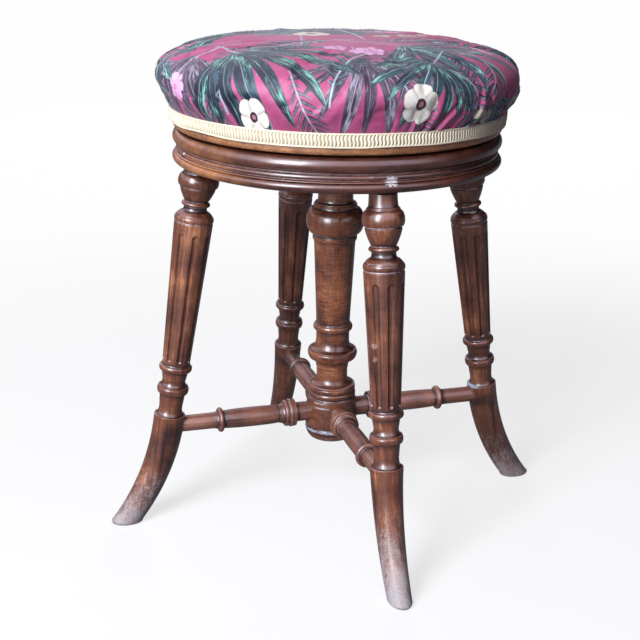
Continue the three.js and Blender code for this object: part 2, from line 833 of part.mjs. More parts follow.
plateScrews.forEach((place, index) => {
  add(`plate_screw_${index + 1}`, moved(woodScrew(plateScrewLength), place), brightSteel());
});

export default stool;
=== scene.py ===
"""Looks of a revolving piano stool, dressed round its packed frame.

The stool has a moulded platform on four fluted legs with sabre feet, a turned column that hides
the seat's screw, four turned stretchers, and a round stuffed seat under a printed cotton cover
edged with gimp. Lengths are in metres, in the frame that the CAD part uses.
"""

from __future__ import annotations

import json
import logging
import math
from collections.abc import Callable
from dataclasses import dataclass, field
from enum import Enum

import bmesh
import bpy
import numpy as np
from bpy.types import Material, Mesh, Node, NodeSocket, NodeTree, Object
from mathutils import Matrix, Vector
from mathutils.kdtree import KDTree

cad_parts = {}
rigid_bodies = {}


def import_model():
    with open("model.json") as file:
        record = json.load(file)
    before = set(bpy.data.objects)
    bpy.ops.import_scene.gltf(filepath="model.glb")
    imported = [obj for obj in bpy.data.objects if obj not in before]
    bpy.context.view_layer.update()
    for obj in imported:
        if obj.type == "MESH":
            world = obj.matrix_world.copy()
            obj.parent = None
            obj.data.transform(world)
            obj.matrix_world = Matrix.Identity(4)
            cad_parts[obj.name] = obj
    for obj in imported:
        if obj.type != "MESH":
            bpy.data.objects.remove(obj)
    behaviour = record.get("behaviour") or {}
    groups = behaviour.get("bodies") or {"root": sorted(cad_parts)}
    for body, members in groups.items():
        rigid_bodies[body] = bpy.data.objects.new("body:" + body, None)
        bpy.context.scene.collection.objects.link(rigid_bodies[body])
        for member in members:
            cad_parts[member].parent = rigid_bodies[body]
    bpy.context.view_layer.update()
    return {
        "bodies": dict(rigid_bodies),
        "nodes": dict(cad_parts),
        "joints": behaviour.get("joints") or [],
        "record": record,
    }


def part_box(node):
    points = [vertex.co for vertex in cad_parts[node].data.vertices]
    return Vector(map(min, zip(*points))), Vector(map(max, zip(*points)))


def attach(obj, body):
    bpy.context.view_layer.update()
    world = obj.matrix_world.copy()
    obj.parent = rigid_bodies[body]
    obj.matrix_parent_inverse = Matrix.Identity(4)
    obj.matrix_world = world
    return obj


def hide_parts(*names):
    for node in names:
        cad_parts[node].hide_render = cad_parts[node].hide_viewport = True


LOG = logging.getLogger("stool")
MERGE = 2e-6  # corners closer than this are one corner
BROAD = 0.0032  # how far the darkening beside a moulding spreads: old polish gathered there, and painted shade
FULL_TURN = 2 * math.pi
QUARTERS = ("front", "right", "back", "left")
GAP = 0.0003  # between glued, seated or stacked pieces
HOLLOW_POLISH_AND_SHADE = 0.48  # how dark a broad hollow is painted: old polish in part, painted shade in part
FLUTE_WALL_SHADE = 0.5  # how dark the painted shade on the wall of a flute is
FLUTE_BED_SHADE = 0.24  # how dark the painted shade in the bed of a flute is at most
FLANGE = 0.004  # how thick the socket's flange is
SUNK_LIMIT = 1.35  # how dark anything sunk is at most

Colour = tuple[float, float, float]
Point = tuple[float, float, float]


class Body(Enum):
    """Bodies of the stool that new pieces ride on."""

    FRAME = "frame"
    SEAT = "seat"


class Slot(Enum):
    """Material slots of the record."""

    MAHOGANY = "mahogany"
    WORN = "worn_mahogany"
    IRON = "cast_iron"
    STEEL = "steel"
    COTTON = "printed_cotton"
    GIMP = "cream_gimp"


class Form(Enum):
    """Members that a turner cuts."""

    STEP = "step"
    TAPER = "taper"
    BEAD = "bead"
    COVE = "cove"


# Turned outlines


@dataclass(frozen=True)
class Member:
    """One turned member: its run and radii are shares of the piece's length and radius."""

    form: Form
    run: float
    end: float
    swell: float = 0.0


def step(run: float, end: float) -> Member:
    """Straight run at a new radius, reached by a square shoulder."""
    return Member(Form.STEP, run, end)


def taper(run: float, end: float) -> Member:
    """Straight taper from the present radius."""
    return Member(Form.TAPER, run, end)


def bead(run: float, end: float, swell: float) -> Member:
    """Round moulding that stands proud of its ends."""
    return Member(Form.BEAD, run, end, swell)


def cove(run: float, end: float) -> Member:
    """Hollow moulding, tangent to the axis on its narrow side."""
    return Member(Form.COVE, run, end)


@dataclass
class Outline:
    """Radius along a turned piece.

    Args:
        length: length that the members share.
        radius: radius that the members share.
        start: radius at the start, as a share.
    """

    length: float
    radius: float
    start: float
    points: list[tuple[float, float]] = field(default_factory=list)
    bead_steps: int = 14
    cove_steps: int = 8
    softening: float = 0.0005
    spacing: float = 0.0016

    def __post_init__(self) -> None:
        """Sets the first point, at the start radius."""
        self.points.append((self.start * self.radius, 0.0))

    def turn(self, members: tuple[Member, ...]) -> "Outline":
        """Adds members after the last point.

        Args:
            members: the members, in order along the piece.

        Returns:
            The outline itself.
        """
        for member in members:
            at = self.points[-1][1]
            run = member.run * self.length
            end = member.end * self.radius
            getattr(self, f"_{member.form.value}")(at, run, end, member.swell * self.radius)
        return self

    def _step(self, at: float, run: float, end: float, _: float) -> None:
        """Adds a square shoulder and a straight run."""
        self.points += [(end, at), (end, at + run)]

    def _taper(self, at: float, run: float, end: float, _: float) -> None:
        """Adds a straight taper."""
        self.points.append((end, at + run))

    def _bead(self, at: float, run: float, end: float, swell: float) -> None:
        """Adds a half round that swells between its ends.

        Args:
            at: where it starts along the piece.
            run: its length.
            end: its radius at the far end.
            swell: its radius where it is widest.
        """
        start = self.points[-1][0]
        proud = swell - max(start, end)
        for turn in np.linspace(0, math.pi, self.bead_steps + 1)[1:]:
            along = (1 - math.cos(turn)) / 2
            self.points.append((start + (end - start) * along + proud * math.sin(turn), at + run * along))

    def _cove(self, at: float, run: float, end: float, _: float) -> None:
        """Adds a quarter hollow.

        Args:
            at: where it starts along the piece.
            run: its length.
            end: its radius at the far end.
        """
        start = self.points[-1][0]
        for turn in np.linspace(0, math.pi / 2, self.cove_steps + 1)[1:]:
            flare = (math.sin(turn), 1 - math.cos(turn))
            along, across = flare if end > start else (flare[1], flare[0])
            self.points.append((start + (end - start) * across, at + run * along))

    def profile(self) -> np.ndarray:
        """Eases the corners and spaces the points evenly.

        Returns:
            Rows of radius and place.
        """
        rows = [Vector(point) for point in self.points]
        eased = [rows[0]]
        for before, here, after in zip(rows, rows[1:], rows[2:]):
            back, ahead = before - here, after - here
            room = min(self.softening, 0.45 * back.length, 0.45 * ahead.length)
            if room < MERGE or back.angle(-ahead, 0.0) < math.radians(20):
                eased.append(here)
                continue
            first, last = here + back.normalized() * room, here + ahead.normalized() * room
            for share in (0.0, 0.3, 0.7, 1.0):
                eased.append(first.lerp(here, share).lerp(here.lerp(last, share), share))
        eased.append(rows[-1])
        spread = [eased[0]]
        for before, here in zip(eased, eased[1:]):
            count = max(1, math.ceil((here - before).length / self.spacing))
            spread += [before.lerp(here, (i + 1) / count) for i in range(count)]
        kept = [spread[0]] + [b for a, b in zip(spread, spread[1:]) if (b - a).length > MERGE]
        return np.array([(p.x, p.y) for p in kept])


def outlined(points: list[tuple[float, float]], eased: float, spacing: float = 0.004) -> np.ndarray:
    """Eases the corners of an outline of radius and place.

    Args:
        points: radius and place of each corner.
        eased: how far a corner is rounded.
        spacing: the longest step between rows.

    Returns:
        Rows of radius and place.
    """
    outline = Outline(1.0, 1.0, 0.0, softening=eased, spacing=spacing)
    outline.points = points
    return outline.profile()


def roundness(profile: np.ndarray, blur: float = 0.0009) -> np.ndarray:
    """Says how convex a profile is along its way, blurred as far as a hand rubs.

    Args:
        profile: rows of radius and place.
        blur: length that a mark spreads over.

    Returns:
        One value a row, above 0 on a bead or corner and below 0 in a hollow.
    """
    way = np.concatenate([[0], np.cumsum(np.linalg.norm(np.diff(profile, axis=0), axis=1))])
    even = np.arange(0, way[-1], blur / 4)
    radius, along = (np.interp(even, way, profile[:, k]) for k in (0, 1))
    heading = np.unwrap(np.arctan2(np.gradient(radius), np.gradient(along)))
    kernel = np.exp(-((np.arange(-16, 17) / 5.0) ** 2))
    turning = np.convolve(-np.gradient(heading), kernel, mode="same")
    return np.interp(way, even, turning)


# Meshes


def skin(name: str, rings: np.ndarray, looped: bool = False) -> Mesh:
    """Makes a closed skin over rings of points.

    Args:
        name: name of the mesh.
        rings: places, as rings by points by three.
        looped: True where the last ring meets the first, and False where each end gets a face.

    Returns:
        A mesh whose faces point out.
    """
    count, around, _ = rings.shape
    here = np.arange(around)
    there = np.roll(here, -1)
    faces: list[list[int]] = []
    for i in range(count if looped else count - 1):
        low, high = i * around, (i + 1) % count * around
        quads = np.stack([low + here, low + there, high + there, high + here], axis=1)
        faces += quads.tolist()
    if not looped:
        faces += [here[::-1].tolist(), ((count - 1) * around + here).tolist()]
    mesh = bpy.data.meshes.new(name)
    mesh.from_pydata(rings.reshape(-1, 3).tolist(), [], faces)
    return cleaned(mesh)


def linked(name: str, data: bpy.types.ID) -> Object:
    """Makes an object of a mesh, lamp or camera and links it to the scene.

    Args:
        name: name of the object.
        data: what it shows.

    Returns:
        The object.
    """
    piece = bpy.data.objects.new(name, data)
    bpy.context.scene.collection.objects.link(piece)
    return piece


def outcome(piece: Object) -> Mesh:
    """Returns what a piece's modifiers make of it, as a plain mesh."""
    bpy.context.view_layer.update()
    return bpy.data.meshes.new_from_object(piece.evaluated_get(bpy.context.evaluated_depsgraph_get()))


def cleaned(mesh: Mesh) -> Mesh:
    """Merges doubles, drops flat faces and points every face out.

    Args:
        mesh: the mesh, which is changed.

    Returns:
        The same mesh, shaded smooth.
    """
    work = bmesh.new()
    work.from_mesh(mesh)
    bmesh.ops.remove_doubles(work, verts=work.verts, dist=MERGE)
    bmesh.ops.dissolve_degenerate(work, edges=work.edges, dist=MERGE / 2)
    bmesh.ops.recalc_face_normals(work, faces=work.faces)
    work.to_mesh(mesh)
    work.free()
    mesh.shade_smooth()
    return mesh


def read_rows(data: bpy.types.bpy_prop_collection, key: str, width: int) -> np.ndarray:
    """Reads one value of each item of a mesh's data.

    Args:
        data: the items.
        key: name of the value.
        width: how many numbers the value has.

    Returns:
        One row an item.
    """
    flat = np.zeros(len(data) * width, np.float32)
    data.foreach_get(key, flat)
    return flat.reshape(-1, width).astype(float)


def coordinates(mesh: Mesh) -> np.ndarray:
    """Places of a mesh's corners, one row each."""
    return read_rows(mesh.vertices, "co", 3)


def numbers_of(mesh: Mesh, name: str) -> np.ndarray:
    """The number stored for each corner of a mesh."""
    return read_rows(mesh.attributes[name].data, "value", 1)[:, 0]


def vectors_of(mesh: Mesh, name: str) -> np.ndarray:
    """The vector stored for each corner of a mesh, one row each."""
    return read_rows(mesh.attributes[name].data, "vector", 3)


def reach_of(places: np.ndarray) -> np.ndarray:
    """Distances of places from the stool's axis."""
    return np.linalg.norm(places[:, :2], axis=1)


def bearing_of(places: np.ndarray) -> np.ndarray:
    """Angles of places round the stool's axis."""
    return np.arctan2(places[:, 1], places[:, 0])


def place(mesh: Mesh, places: np.ndarray) -> None:
    """Moves the corners of a mesh."""
    mesh.vertices.foreach_set("co", places.astype(np.float32).ravel())
    mesh.update()


def store(mesh: Mesh, name: str, values: np.ndarray, domain: str = "POINT") -> None:
    """Stores one number or one vector for each corner of a mesh.

    Args:
        mesh: the mesh.
        name: name of the attribute.
        values: one number or one row of three a corner.
        domain: POINT for corners, or CORNER for the corners of faces.
    """
    single = values.ndim == 1
    kind, key = ("FLOAT", "value") if single else ("FLOAT_VECTOR", "vector")
    attribute = mesh.attributes.get(name) or mesh.attributes.new(name, kind, domain)
    attribute.data.foreach_set(key, values.astype(np.float32).ravel())


def turned_rings(profile: np.ndarray, around: int) -> np.ndarray:
    """Revolves rows of radius and place about +Z.

    Args:
        profile: rows of radius and place.
        around: points in a ring.

    Returns:
        Places, as rings by points by three.
    """
    turn = np.arange(around) * FULL_TURN / around
    radius, along = profile[:, :1], profile[:, 1:]
    flat = np.ones_like(turn)
    return np.stack([radius * np.cos(turn), radius * np.sin(turn), along * flat], axis=2)


def mark_wood(mesh: Mesh, frame: Matrix, profile: np.ndarray, hollow: float = 0.0) -> None:
    """Stores where the grain runs and where hands and feet have rubbed a turned piece.

    Args:
        mesh: the mesh, in the piece's own frame, with +Z along the turning.
        frame: matrix that will bring the mesh to its place.
        profile: rows of radius and place.
        hollow: how far below the profile a carved face lies before it counts as hollow.
    """
    local = coordinates(mesh)
    bend = roundness(profile)
    order = np.argsort(profile[:, 1], kind="stable")
    reach = reach_of(local)
    rows = KDTree(len(profile))
    for i, (radius, along) in enumerate(profile):
        rows.insert((radius, along, 0), i)
    rows.balance()
    nearest = np.array([rows.find((r, z, 0))[1] for r, z in zip(reach, local[:, 2])])
    # broad hollows are painted darker: old polish gathered there, and painted shade
    value, deep = bend[nearest], -roundness(profile, BROAD)[nearest] * HOLLOW_POLISH_AND_SHADE
    if hollow:
        turned = np.interp(local[:, 2], profile[order, 1], profile[order, 0])
        depth = (turned - reach) / hollow
        value = np.where(depth > 1, np.minimum(value, 0), value)
        # painted shade: a dark band just inside each flute's edge, and a bed that darkens with depth
        wall_shade = np.exp(-(((depth - 1.3) / 0.8) ** 2)) * FLUTE_WALL_SHADE
        deep = np.maximum.reduce([deep, np.clip(depth / 8, 0, FLUTE_BED_SHADE), wall_shade])
    store(mesh, "grain", local)
    store(mesh, "worn", np.clip(value, 0, 2))
    store(mesh, "sunk", np.clip(np.maximum(-value, deep), 0, SUNK_LIMIT))
    mesh.transform(frame)


def publish(mesh: Mesh, material: Material, body: Body, slot: Slot, *nodes: str) -> Object:
    """Puts a finished mesh in the scene as a piece of a body.

    Args:
        mesh: the mesh, in place.
        material: its finish.
        body: the body that it rides on.
        slot: the record's slot that it belongs to.
        nodes: the CAD nodes that it stands for.

    Returns:
        The piece.
    """
    piece = linked(mesh.name, mesh)
    mesh.materials.clear()
    mesh.materials.append(material)
    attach(piece, body.value)
    if nodes:
        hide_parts(*nodes)
    LOG.info("%s: %d faces on %s", piece.name, len(mesh.polygons), body.value)
    return piece


# Node trees


def math_method(operation: str, words: str) -> Callable[..., "Term"]:
    """Makes a method of Term that adds one Math node.

    Args:
        operation: the node's operation.
        words: what the method gives.

    Returns:
        The method.
    """

    def method(self: "Term", *others: "Term | float") -> "Term":
        """Adds the node, with this number first."""
        return self.graph.math(operation, self, *others)

    method.__doc__ = words
    return method


class Term:
    """A number in a node tree that reads like arithmetic."""

    def __init__(self, graph: "Graph", socket: NodeSocket) -> None:
        """Wraps one socket of a graph."""
        self.graph = graph
        self.socket = socket

    def __rsub__(self, other: float) -> "Term":
        """Difference from a plain number."""
        return self.graph.math("SUBTRACT", other, self)

    __add__ = __radd__ = math_method("ADD", "Sum.")
    __mul__ = __rmul__ = math_method("MULTIPLY", "Product.")
    __sub__ = math_method("SUBTRACT", "Difference.")
    __truediv__ = math_method("DIVIDE", "Quotient.")
    __pow__ = math_method("POWER", "Power.")
    __abs__ = math_method("ABSOLUTE", "Size without its sign.")
    sine = math_method("SINE", "Sine of an angle in radians.")
    cosine = math_method("COSINE", "Cosine of an angle in radians.")
    least = math_method("MINIMUM", "The lesser of two numbers.")
    most = math_method("MAXIMUM", "The greater of two numbers.")
    part = math_method("FRACT", "What is left over a whole number.")
    whole = math_method("FLOOR", "The whole number below.")


Input = "Term | NodeSocket | float | tuple"


class Graph:
    """Short way to build one node tree."""

    def __init__(self, tree: NodeTree) -> None:
        """Takes the tree that is built."""
        self.tree = tree

    def set(self, socket: NodeSocket, value: Input) -> None:
        """Links or sets one input.

        Args:
            socket: the input.
            value: a socket to link, or a plain value.
        """
        value = value.socket if isinstance(value, Term) else value
        if isinstance(value, NodeSocket):
            self.tree.links.new(value, socket)
        else:
            socket.default_value = (*value[:3], 1.0) if socket.type == "RGBA" else value

    def add(self, kind: str, inputs: dict | None = None, **settings: object) -> Node:
        """Adds a node, sets its settings and then its inputs.

        Args:
            kind: type of the node.
            inputs: values of its inputs, by name or number.
            settings: values of its settings.

        Returns:
            The node.
        """
        node = self.tree.nodes.new(kind)
        for name, value in settings.items():
            setattr(node, name, value)
        for key, value in (inputs or {}).items():
            self.set(node.inputs[key], value)
        return node

    def feed(self, node: Node, **values: Input) -> Node:
        """Sets inputs of a node, with underscores in their names read as spaces.

        Args:
            node: the node.
            values: the inputs' values.

        Returns:
            The node.
        """
        for name, value in values.items():
            self.set(node.inputs[name.replace("_", " ")], value)
        return node

    def find(self, kind: str) -> Node:
        """The node of a kind that a new tree comes with."""
        return next(node for node in self.tree.nodes if node.type == kind)

    def term(self, node: Node, output: str | int = 0) -> Term:
        """One output of a node as a number."""
        return Term(self, node.outputs[output])

    def bump(self, strength: float, distance: float, height: Input) -> NodeSocket:
        """Normal of a face that a height roughens."""
        inputs = {"Strength": strength, "Distance": distance, "Height": height}
        return self.add("ShaderNodeBump", inputs).outputs[0]

    def math(self, operation: str, *values: Input) -> Term:
        """Adds one Math node."""
        return self.term(self.add("ShaderNodeMath", dict(enumerate(values)), operation=operation))

    def vector(self, operation: str, *values: Input) -> NodeSocket:
        """Adds one Vector Math node that gives a vector."""
        return self.add("ShaderNodeVectorMath", dict(enumerate(values)), operation=operation).outputs[0]

    def measure(self, operation: str, *values: Input) -> Term:
        """Adds one Vector Math node that gives a number."""
        node = self.add("ShaderNodeVectorMath", dict(enumerate(values)), operation=operation)
        return self.term(node, "Value")

    def split(self, value: Input) -> list[Term]:
        """The three numbers of a vector."""
        node = self.add("ShaderNodeSeparateXYZ", {0: value})
        return [Term(self, socket) for socket in node.outputs]

    def join(self, x: Input, y: Input, z: Input) -> NodeSocket:
        """A vector of three numbers."""
        return self.add("ShaderNodeCombineXYZ", {0: x, 1: y, 2: z}).outputs[0]

    def mix(self, share: Input, first: Input, second: Input) -> NodeSocket:
        """Mixes a share of the second colour into the first."""
        inputs = {0: share, 6: first, 7: second}
        return self.add("ShaderNodeMix", inputs, data_type="RGBA").outputs[2]

    def fade(self, value: Input, low: float, high: float, start: float = 0, end: float = 1) -> Term:
        """Smooth step of a number between two values.

        Args:
            value: the number.
            low: where the step starts.
            high: where the step ends.
            start: result before the step.
            end: result after the step.

        Returns:
            The result.
        """
        inputs = {0: value, 1: low, 2: high, 3: start, 4: end}
        return self.term(self.add("ShaderNodeMapRange", inputs, interpolation_type="SMOOTHSTEP"))

    def noise(self, vector: Input, scale: float, detail: float = 3, rough: float = 0.55) -> Term:
        """Noise about 0.5."""
        inputs = {"Vector": vector, "Scale": scale, "Detail": detail, "Roughness": rough}
        return self.term(self.add("ShaderNodeTexNoise", inputs))

    def chance(self, count: Term, number: Term) -> Term:
        """Random number of a whole number and of a motif's own number."""
        return ((count * 12.9898 + number * 78.233).sine() * 437.58).part()

    def read(self, name: str) -> Node:
        """Reads an attribute of the mesh."""
        return self.add("ShaderNodeAttribute", attribute_name=name)

    def place(self) -> NodeSocket:
        """Place on the object."""
        return self.add("ShaderNodeTexCoord").outputs["Object"]

    def use(self, tree: NodeTree, **inputs: Input) -> Node:
        """Places a node group and feeds it."""
        return self.feed(self.add("ShaderNodeGroup", node_tree=tree), **inputs)


def srgb(red: int, green: int, blue: int) -> Colour:
    """Linear colour of a colour as a screen shows it, from 0 to 255."""
    shares = (red / 255, green / 255, blue / 255)
    return tuple(s / 12.92 if s <= 0.04045 else ((s + 0.055) / 1.055) ** 2.4 for s in shares)


SOCKETS = {"f": "Float", "v": "Vector", "c": "Color", "i": "Int", "g": "Geometry", "m": "Material"}


def group(
    name: str, inputs: str, outputs: str, kind: str = "ShaderNodeTree",
) -> tuple[Graph, dict[str, Term], Node]:
    """Starts a node group.

    Args:
        name: name of the group.
        inputs: names of its inputs, each with its kind before a colon, split by commas.
        outputs: the same for its outputs.
        kind: type of its tree.

    Returns:
        The graph, its inputs by name and its output node.
    """
    tree = bpy.data.node_groups.new(name, kind)
    for names, way in ((inputs, "INPUT"), (outputs, "OUTPUT")):
        for entry in names.split(","):
            letter, label = entry.strip().split(":")
            tree.interface.new_socket(label, in_out=way, socket_type="NodeSocket" + SOCKETS[letter])
    graph = Graph(tree)
    source = graph.add("NodeGroupInput")
    terms = {socket.name: Term(graph, socket) for socket in source.outputs if socket.name}
    return graph, terms, graph.add("NodeGroupOutput")


class Effects:
    """Shader node groups that several finishes share, each built once."""

    def __init__(self) -> None:
        """Builds the groups."""
        self.grain = self._grain()
        self.rub = self._rub()
        self.dust = self._dust()
        self.chip = self._chip()
        self.weave = self._weave()
        self.fern = self._fern()
        self.fan = self._fan()
        self.blossom = self._blossom()

    def _grain(self) -> NodeTree:
        """Straight grain with pores, streaks and a faint figure across it.

        Returns:
            The node group.
        """
        graph, given, out = group(
            "Wood grain", "v:Vector, c:Deep, c:Middle, c:Light, f:Streak, f:Figure", "c:Color, f:Height",
        )
        along = graph.vector("MULTIPLY", given["Vector"], (1.0, 1.0, 0.035))
        across = graph.vector("MULTIPLY", given["Vector"], (0.16, 0.16, 1.0))
        pore_way = graph.vector("MULTIPLY", given["Vector"], (1.0, 1.0, 0.07))
        streak = graph.noise(along, 380.0, 5, 0.62)
        fibre = graph.noise(along, 1100.0, 2, 0.5)
        figure = graph.noise(across, 620.0, 4, 0.6)
        blotch = graph.noise(given["Vector"], 26.0, 3, 0.5)
        pores = graph.fade(graph.noise(pore_way, 1900.0, 1, 0.4), 0.62, 0.7)
        tone = (
            given["Streak"] * (streak - 0.5)
            + (fibre - 0.5) * 0.35
            + given["Figure"] * (figure - 0.5)
            + (blotch - 0.5) * 1.2
            + 0.5
        )
        colour = graph.mix(graph.fade(tone, 0.12, 0.55), given["Deep"], given["Middle"])
        colour = graph.mix(graph.fade(tone, 0.5, 0.95), colour, given["Light"])
        colour = graph.mix(pores * 0.45, colour, given["Deep"])
        graph.feed(out, Color=colour, Height=fibre * 0.6 + streak * 0.4 - pores * 0.8)
        return graph.tree

    def _rub(self) -> NodeTree:
        """Polish rubbed through on edges and gathered dark in hollows.

        Returns:
            The node group.
        """
        graph, given, out = group(
            "Rubbed polish", "c:Color, c:Bare, c:Pale, c:Dark, f:Worn, f:Sunk, f:Amount, v:Vector",
            "c:Color, f:Bare, f:Pale",
        )
        coarse = graph.noise(given["Vector"], 70.0, 4, 0.6)
        fine = graph.noise(given["Vector"], 420.0, 3, 0.6)
        rub = given["Worn"] * (coarse * 1.5 + fine * 0.7 - 0.25) * given["Amount"]
        bare = graph.fade(rub, 0.1, 0.75)
        # pale lines on worn edges: wear, and painted highlights along the edges
        pale = graph.fade(given["Worn"] * (fine * 0.9 + coarse * 1.8 - 0.5), 1.0, 1.6)
        # sunk places go dark: old polish and grime in part, painted shade in hollows and flutes in part
        sunk = graph.fade(given["Sunk"] * (coarse + 0.5), 0.04, 0.6)
        dust = graph.fade(given["Sunk"] * (fine * 0.8 + coarse * 1.2), 0.95, 1.5)
        colour = graph.mix(sunk * 0.9, given["Color"], given["Dark"])
        colour = graph.mix(dust * 0.75, colour, given["Pale"])
        colour = graph.mix(bare * 0.8, colour, given["Bare"])
        colour = graph.mix(pale * 0.4, colour, given["Pale"])
        graph.feed(out, Color=colour, Bare=bare, Pale=pale)
        return graph.tree

    def _dust(self) -> NodeTree:
        """Scuffs and dust that thicken towards a height and lie in the grain.

        Returns:
            The node group.
        """
        graph, given, out = group(
            "Scuffed foot", "c:Color, c:Scuff, v:Place, v:Grain, f:Clear, f:Thick, f:Amount",
            "c:Color, f:Mask",
        )
        height = graph.split(given["Place"])[2]
        rise = (given["Clear"] - height) / (given["Clear"] - given["Thick"])
        streak = graph.noise(graph.vector("MULTIPLY", given["Grain"], (1.0, 1.0, 0.12)), 210.0, 4, 0.65)
        patch = graph.noise(given["Place"], 60.0, 4, 0.65)
        speck = graph.noise(given["Place"], 520.0, 4, 0.75)
        body = rise + (given["Amount"] - 1.0) * 0.9 + (patch - 0.5) * 0.8 + (streak - 0.5) * 0.9
        body = graph.fade(body + (speck - 0.5) * 1.4, 0.3, 1.15)
        stray = graph.fade(speck * 0.8 + patch * 0.4, 0.78, 0.86) * graph.fade(rise, -1.4, 0.2) * 0.4
        mask = (body + stray * given["Amount"]).least(1.0)
        graph.feed(out, Color=graph.mix(mask, given["Color"], given["Scuff"]), Mask=mask)
        return graph.tree

    def _chip(self) -> NodeTree:
        """One chip or dab at a place, with a ragged edge.

        Returns:
            The node group.
        """
        graph, given, out = group("Chip", "c:Color, c:Chip, v:Place, v:Centre, v:Spread", "c:Color, f:Mask")
        apart = graph.vector("SUBTRACT", given["Place"], given["Centre"])
        reach = graph.measure("LENGTH", graph.vector("DIVIDE", apart, given["Spread"]))
        ragged = reach + (graph.noise(given["Place"], 420.0, 4, 0.7) - 0.5) * 1.9
        mask = graph.fade(ragged, 1.0, 0.7)
        core = graph.noise(given["Place"], 900.0, 3, 0.7)
        dab = graph.mix(graph.fade(core, 0.42, 0.6) * 0.5, given["Chip"], srgb(120, 112, 120))
        graph.feed(out, Color=graph.mix(mask, given["Color"], dab), Mask=mask)
        return graph.tree

    def _weave(self) -> NodeTree:
        """Plain weave seen from close by.

        Returns:
            The node group.
        """
        graph, given, out = group("Weave", "v:Vector, f:Pitch", "f:Height")
        x, y, _ = graph.split(given["Vector"])
        warp = (x / given["Pitch"] * math.pi).sine()
        weft = (y / given["Pitch"] * math.pi).sine()
        graph.feed(out, Height=abs(warp) * 0.5 + abs(weft) * 0.5)
        return graph.tree

    def _fern(self) -> NodeTree:
        """Feather frond from its foot at 0 to its tip at 1 along X, swayed by its own number.

        Returns:
            The node group.
        """
        graph, given, out = group("Fern", "v:Leaf", "f:Mask, f:Tone, f:Light, f:Vein")
        x, y, number = graph.split(given["Leaf"])
        sway = ((number * 7.31).part() - 0.5) * 0.8
        across = y - sway * x * x
        side = abs(across)
        root = x - side * 0.8 - side * side * 0.9
        reach = ((root * (1.04 - root)).most(0.0) ** 0.6) * 0.58
        share = side / reach.most(0.001)
        place = root * (8.0 + (number * 3.77).part() * 3.0) + 0.2
        chance = graph.chance(place.whole(), number)
        lobe = abs(place.part() - 0.5)
        width = (1.0 - share * share - chance * 0.25).most(0.0) * (share * 5.0 + 0.3).least(1.0) * 0.42
        inside = graph.fade(width - lobe, 0.0, 0.035) * graph.fade(root, 0.0, 0.02)
        inside = inside * graph.fade(root, 0.98, 0.94)
        rib = graph.fade(side, 0.012, 0.006) * graph.fade(x, -0.18, -0.16) * graph.fade(x, 1.0, 0.98)
        rim = (place.part() - 0.5) / width.most(0.02)
        way = graph.join(share * 1.6, rim * 0.9, number * 23.0 + place.whole() * 3.7)
        brush = graph.noise(way, 4.0, 4, 0.65)
        graph.feed(
            out, Mask=inside.most(rib), Tone=(brush - 0.5) * 2.2 + rim * 0.3 + chance * 0.25 + 0.25,
            Light=graph.fade(brush * 0.6 + share * 0.35, 0.42, 0.7) * chance,
            Vein=rib.most(graph.fade(lobe, 0.05, 0.02) * inside * 0.6),
        )
        return graph.tree

    def _fan(self) -> NodeTree:
        """Palm fan of long leaflets that spread from its foot and droop to one side.

        Returns:
            The node group.
        """
        graph, given, out = group("Palm fan", "v:Leaf", "f:Mask, f:Tone, f:Light, f:Vein")
        x, y, number = graph.split(given["Leaf"])
        reach = graph.measure("LENGTH", graph.join(x, y, 0.0))
        droop = ((number * 5.17).part() - 0.5) * 1.5
        angle = graph.math("ARCTAN2", y, x) + droop * reach
        pitch = 0.27 + (number * 2.71).part() * 0.06
        count = (angle / pitch + 0.5).whole()
        chance = graph.chance(count, number)
        aside = angle - (count + (chance - 0.5) * 0.3) * pitch
        length = ((count * pitch * 0.62).cosine()).most(0.3) * (0.78 + chance * 0.24)
        share = reach * aside.cosine() / length
        across = reach * aside.sine()
        full = ((share * (1.0 - share)).most(0.0) ** 0.62) * (0.095 + chance * 0.075)
        rim = across / full.most(0.001)
        inside = graph.fade(full - abs(across), 0.0, 0.007) * graph.fade(abs(count), 4.6, 4.4)
        way = graph.join(share * 2.2, rim * 1.1, number * 31.0 + count * 3.7)
        brush = graph.noise(way, 4.0, 5, 0.7)
        patch = graph.noise(graph.join(share * 2.0, rim * 0.4, number * 17.0 + count * 5.1), 1.6, 2, 0.5)
        stalk = graph.fade(abs(y - 0.02), 0.011, 0.006)
        stalk = stalk * graph.fade(x, -0.5, -0.48) * graph.fade(x, 0.06, 0.0)
        graph.feed(
            out, Mask=inside.most(stalk), Tone=(brush - 0.5) * 2.6 + rim * 0.22 + chance * 0.3 + 0.2,
            Light=graph.fade(patch + (brush - 0.5) * 0.5, 0.5, 0.68),
            Vein=stalk.most(graph.fade(abs(rim + 0.1), 0.09, 0.03) * chance),
        )
        return graph.tree

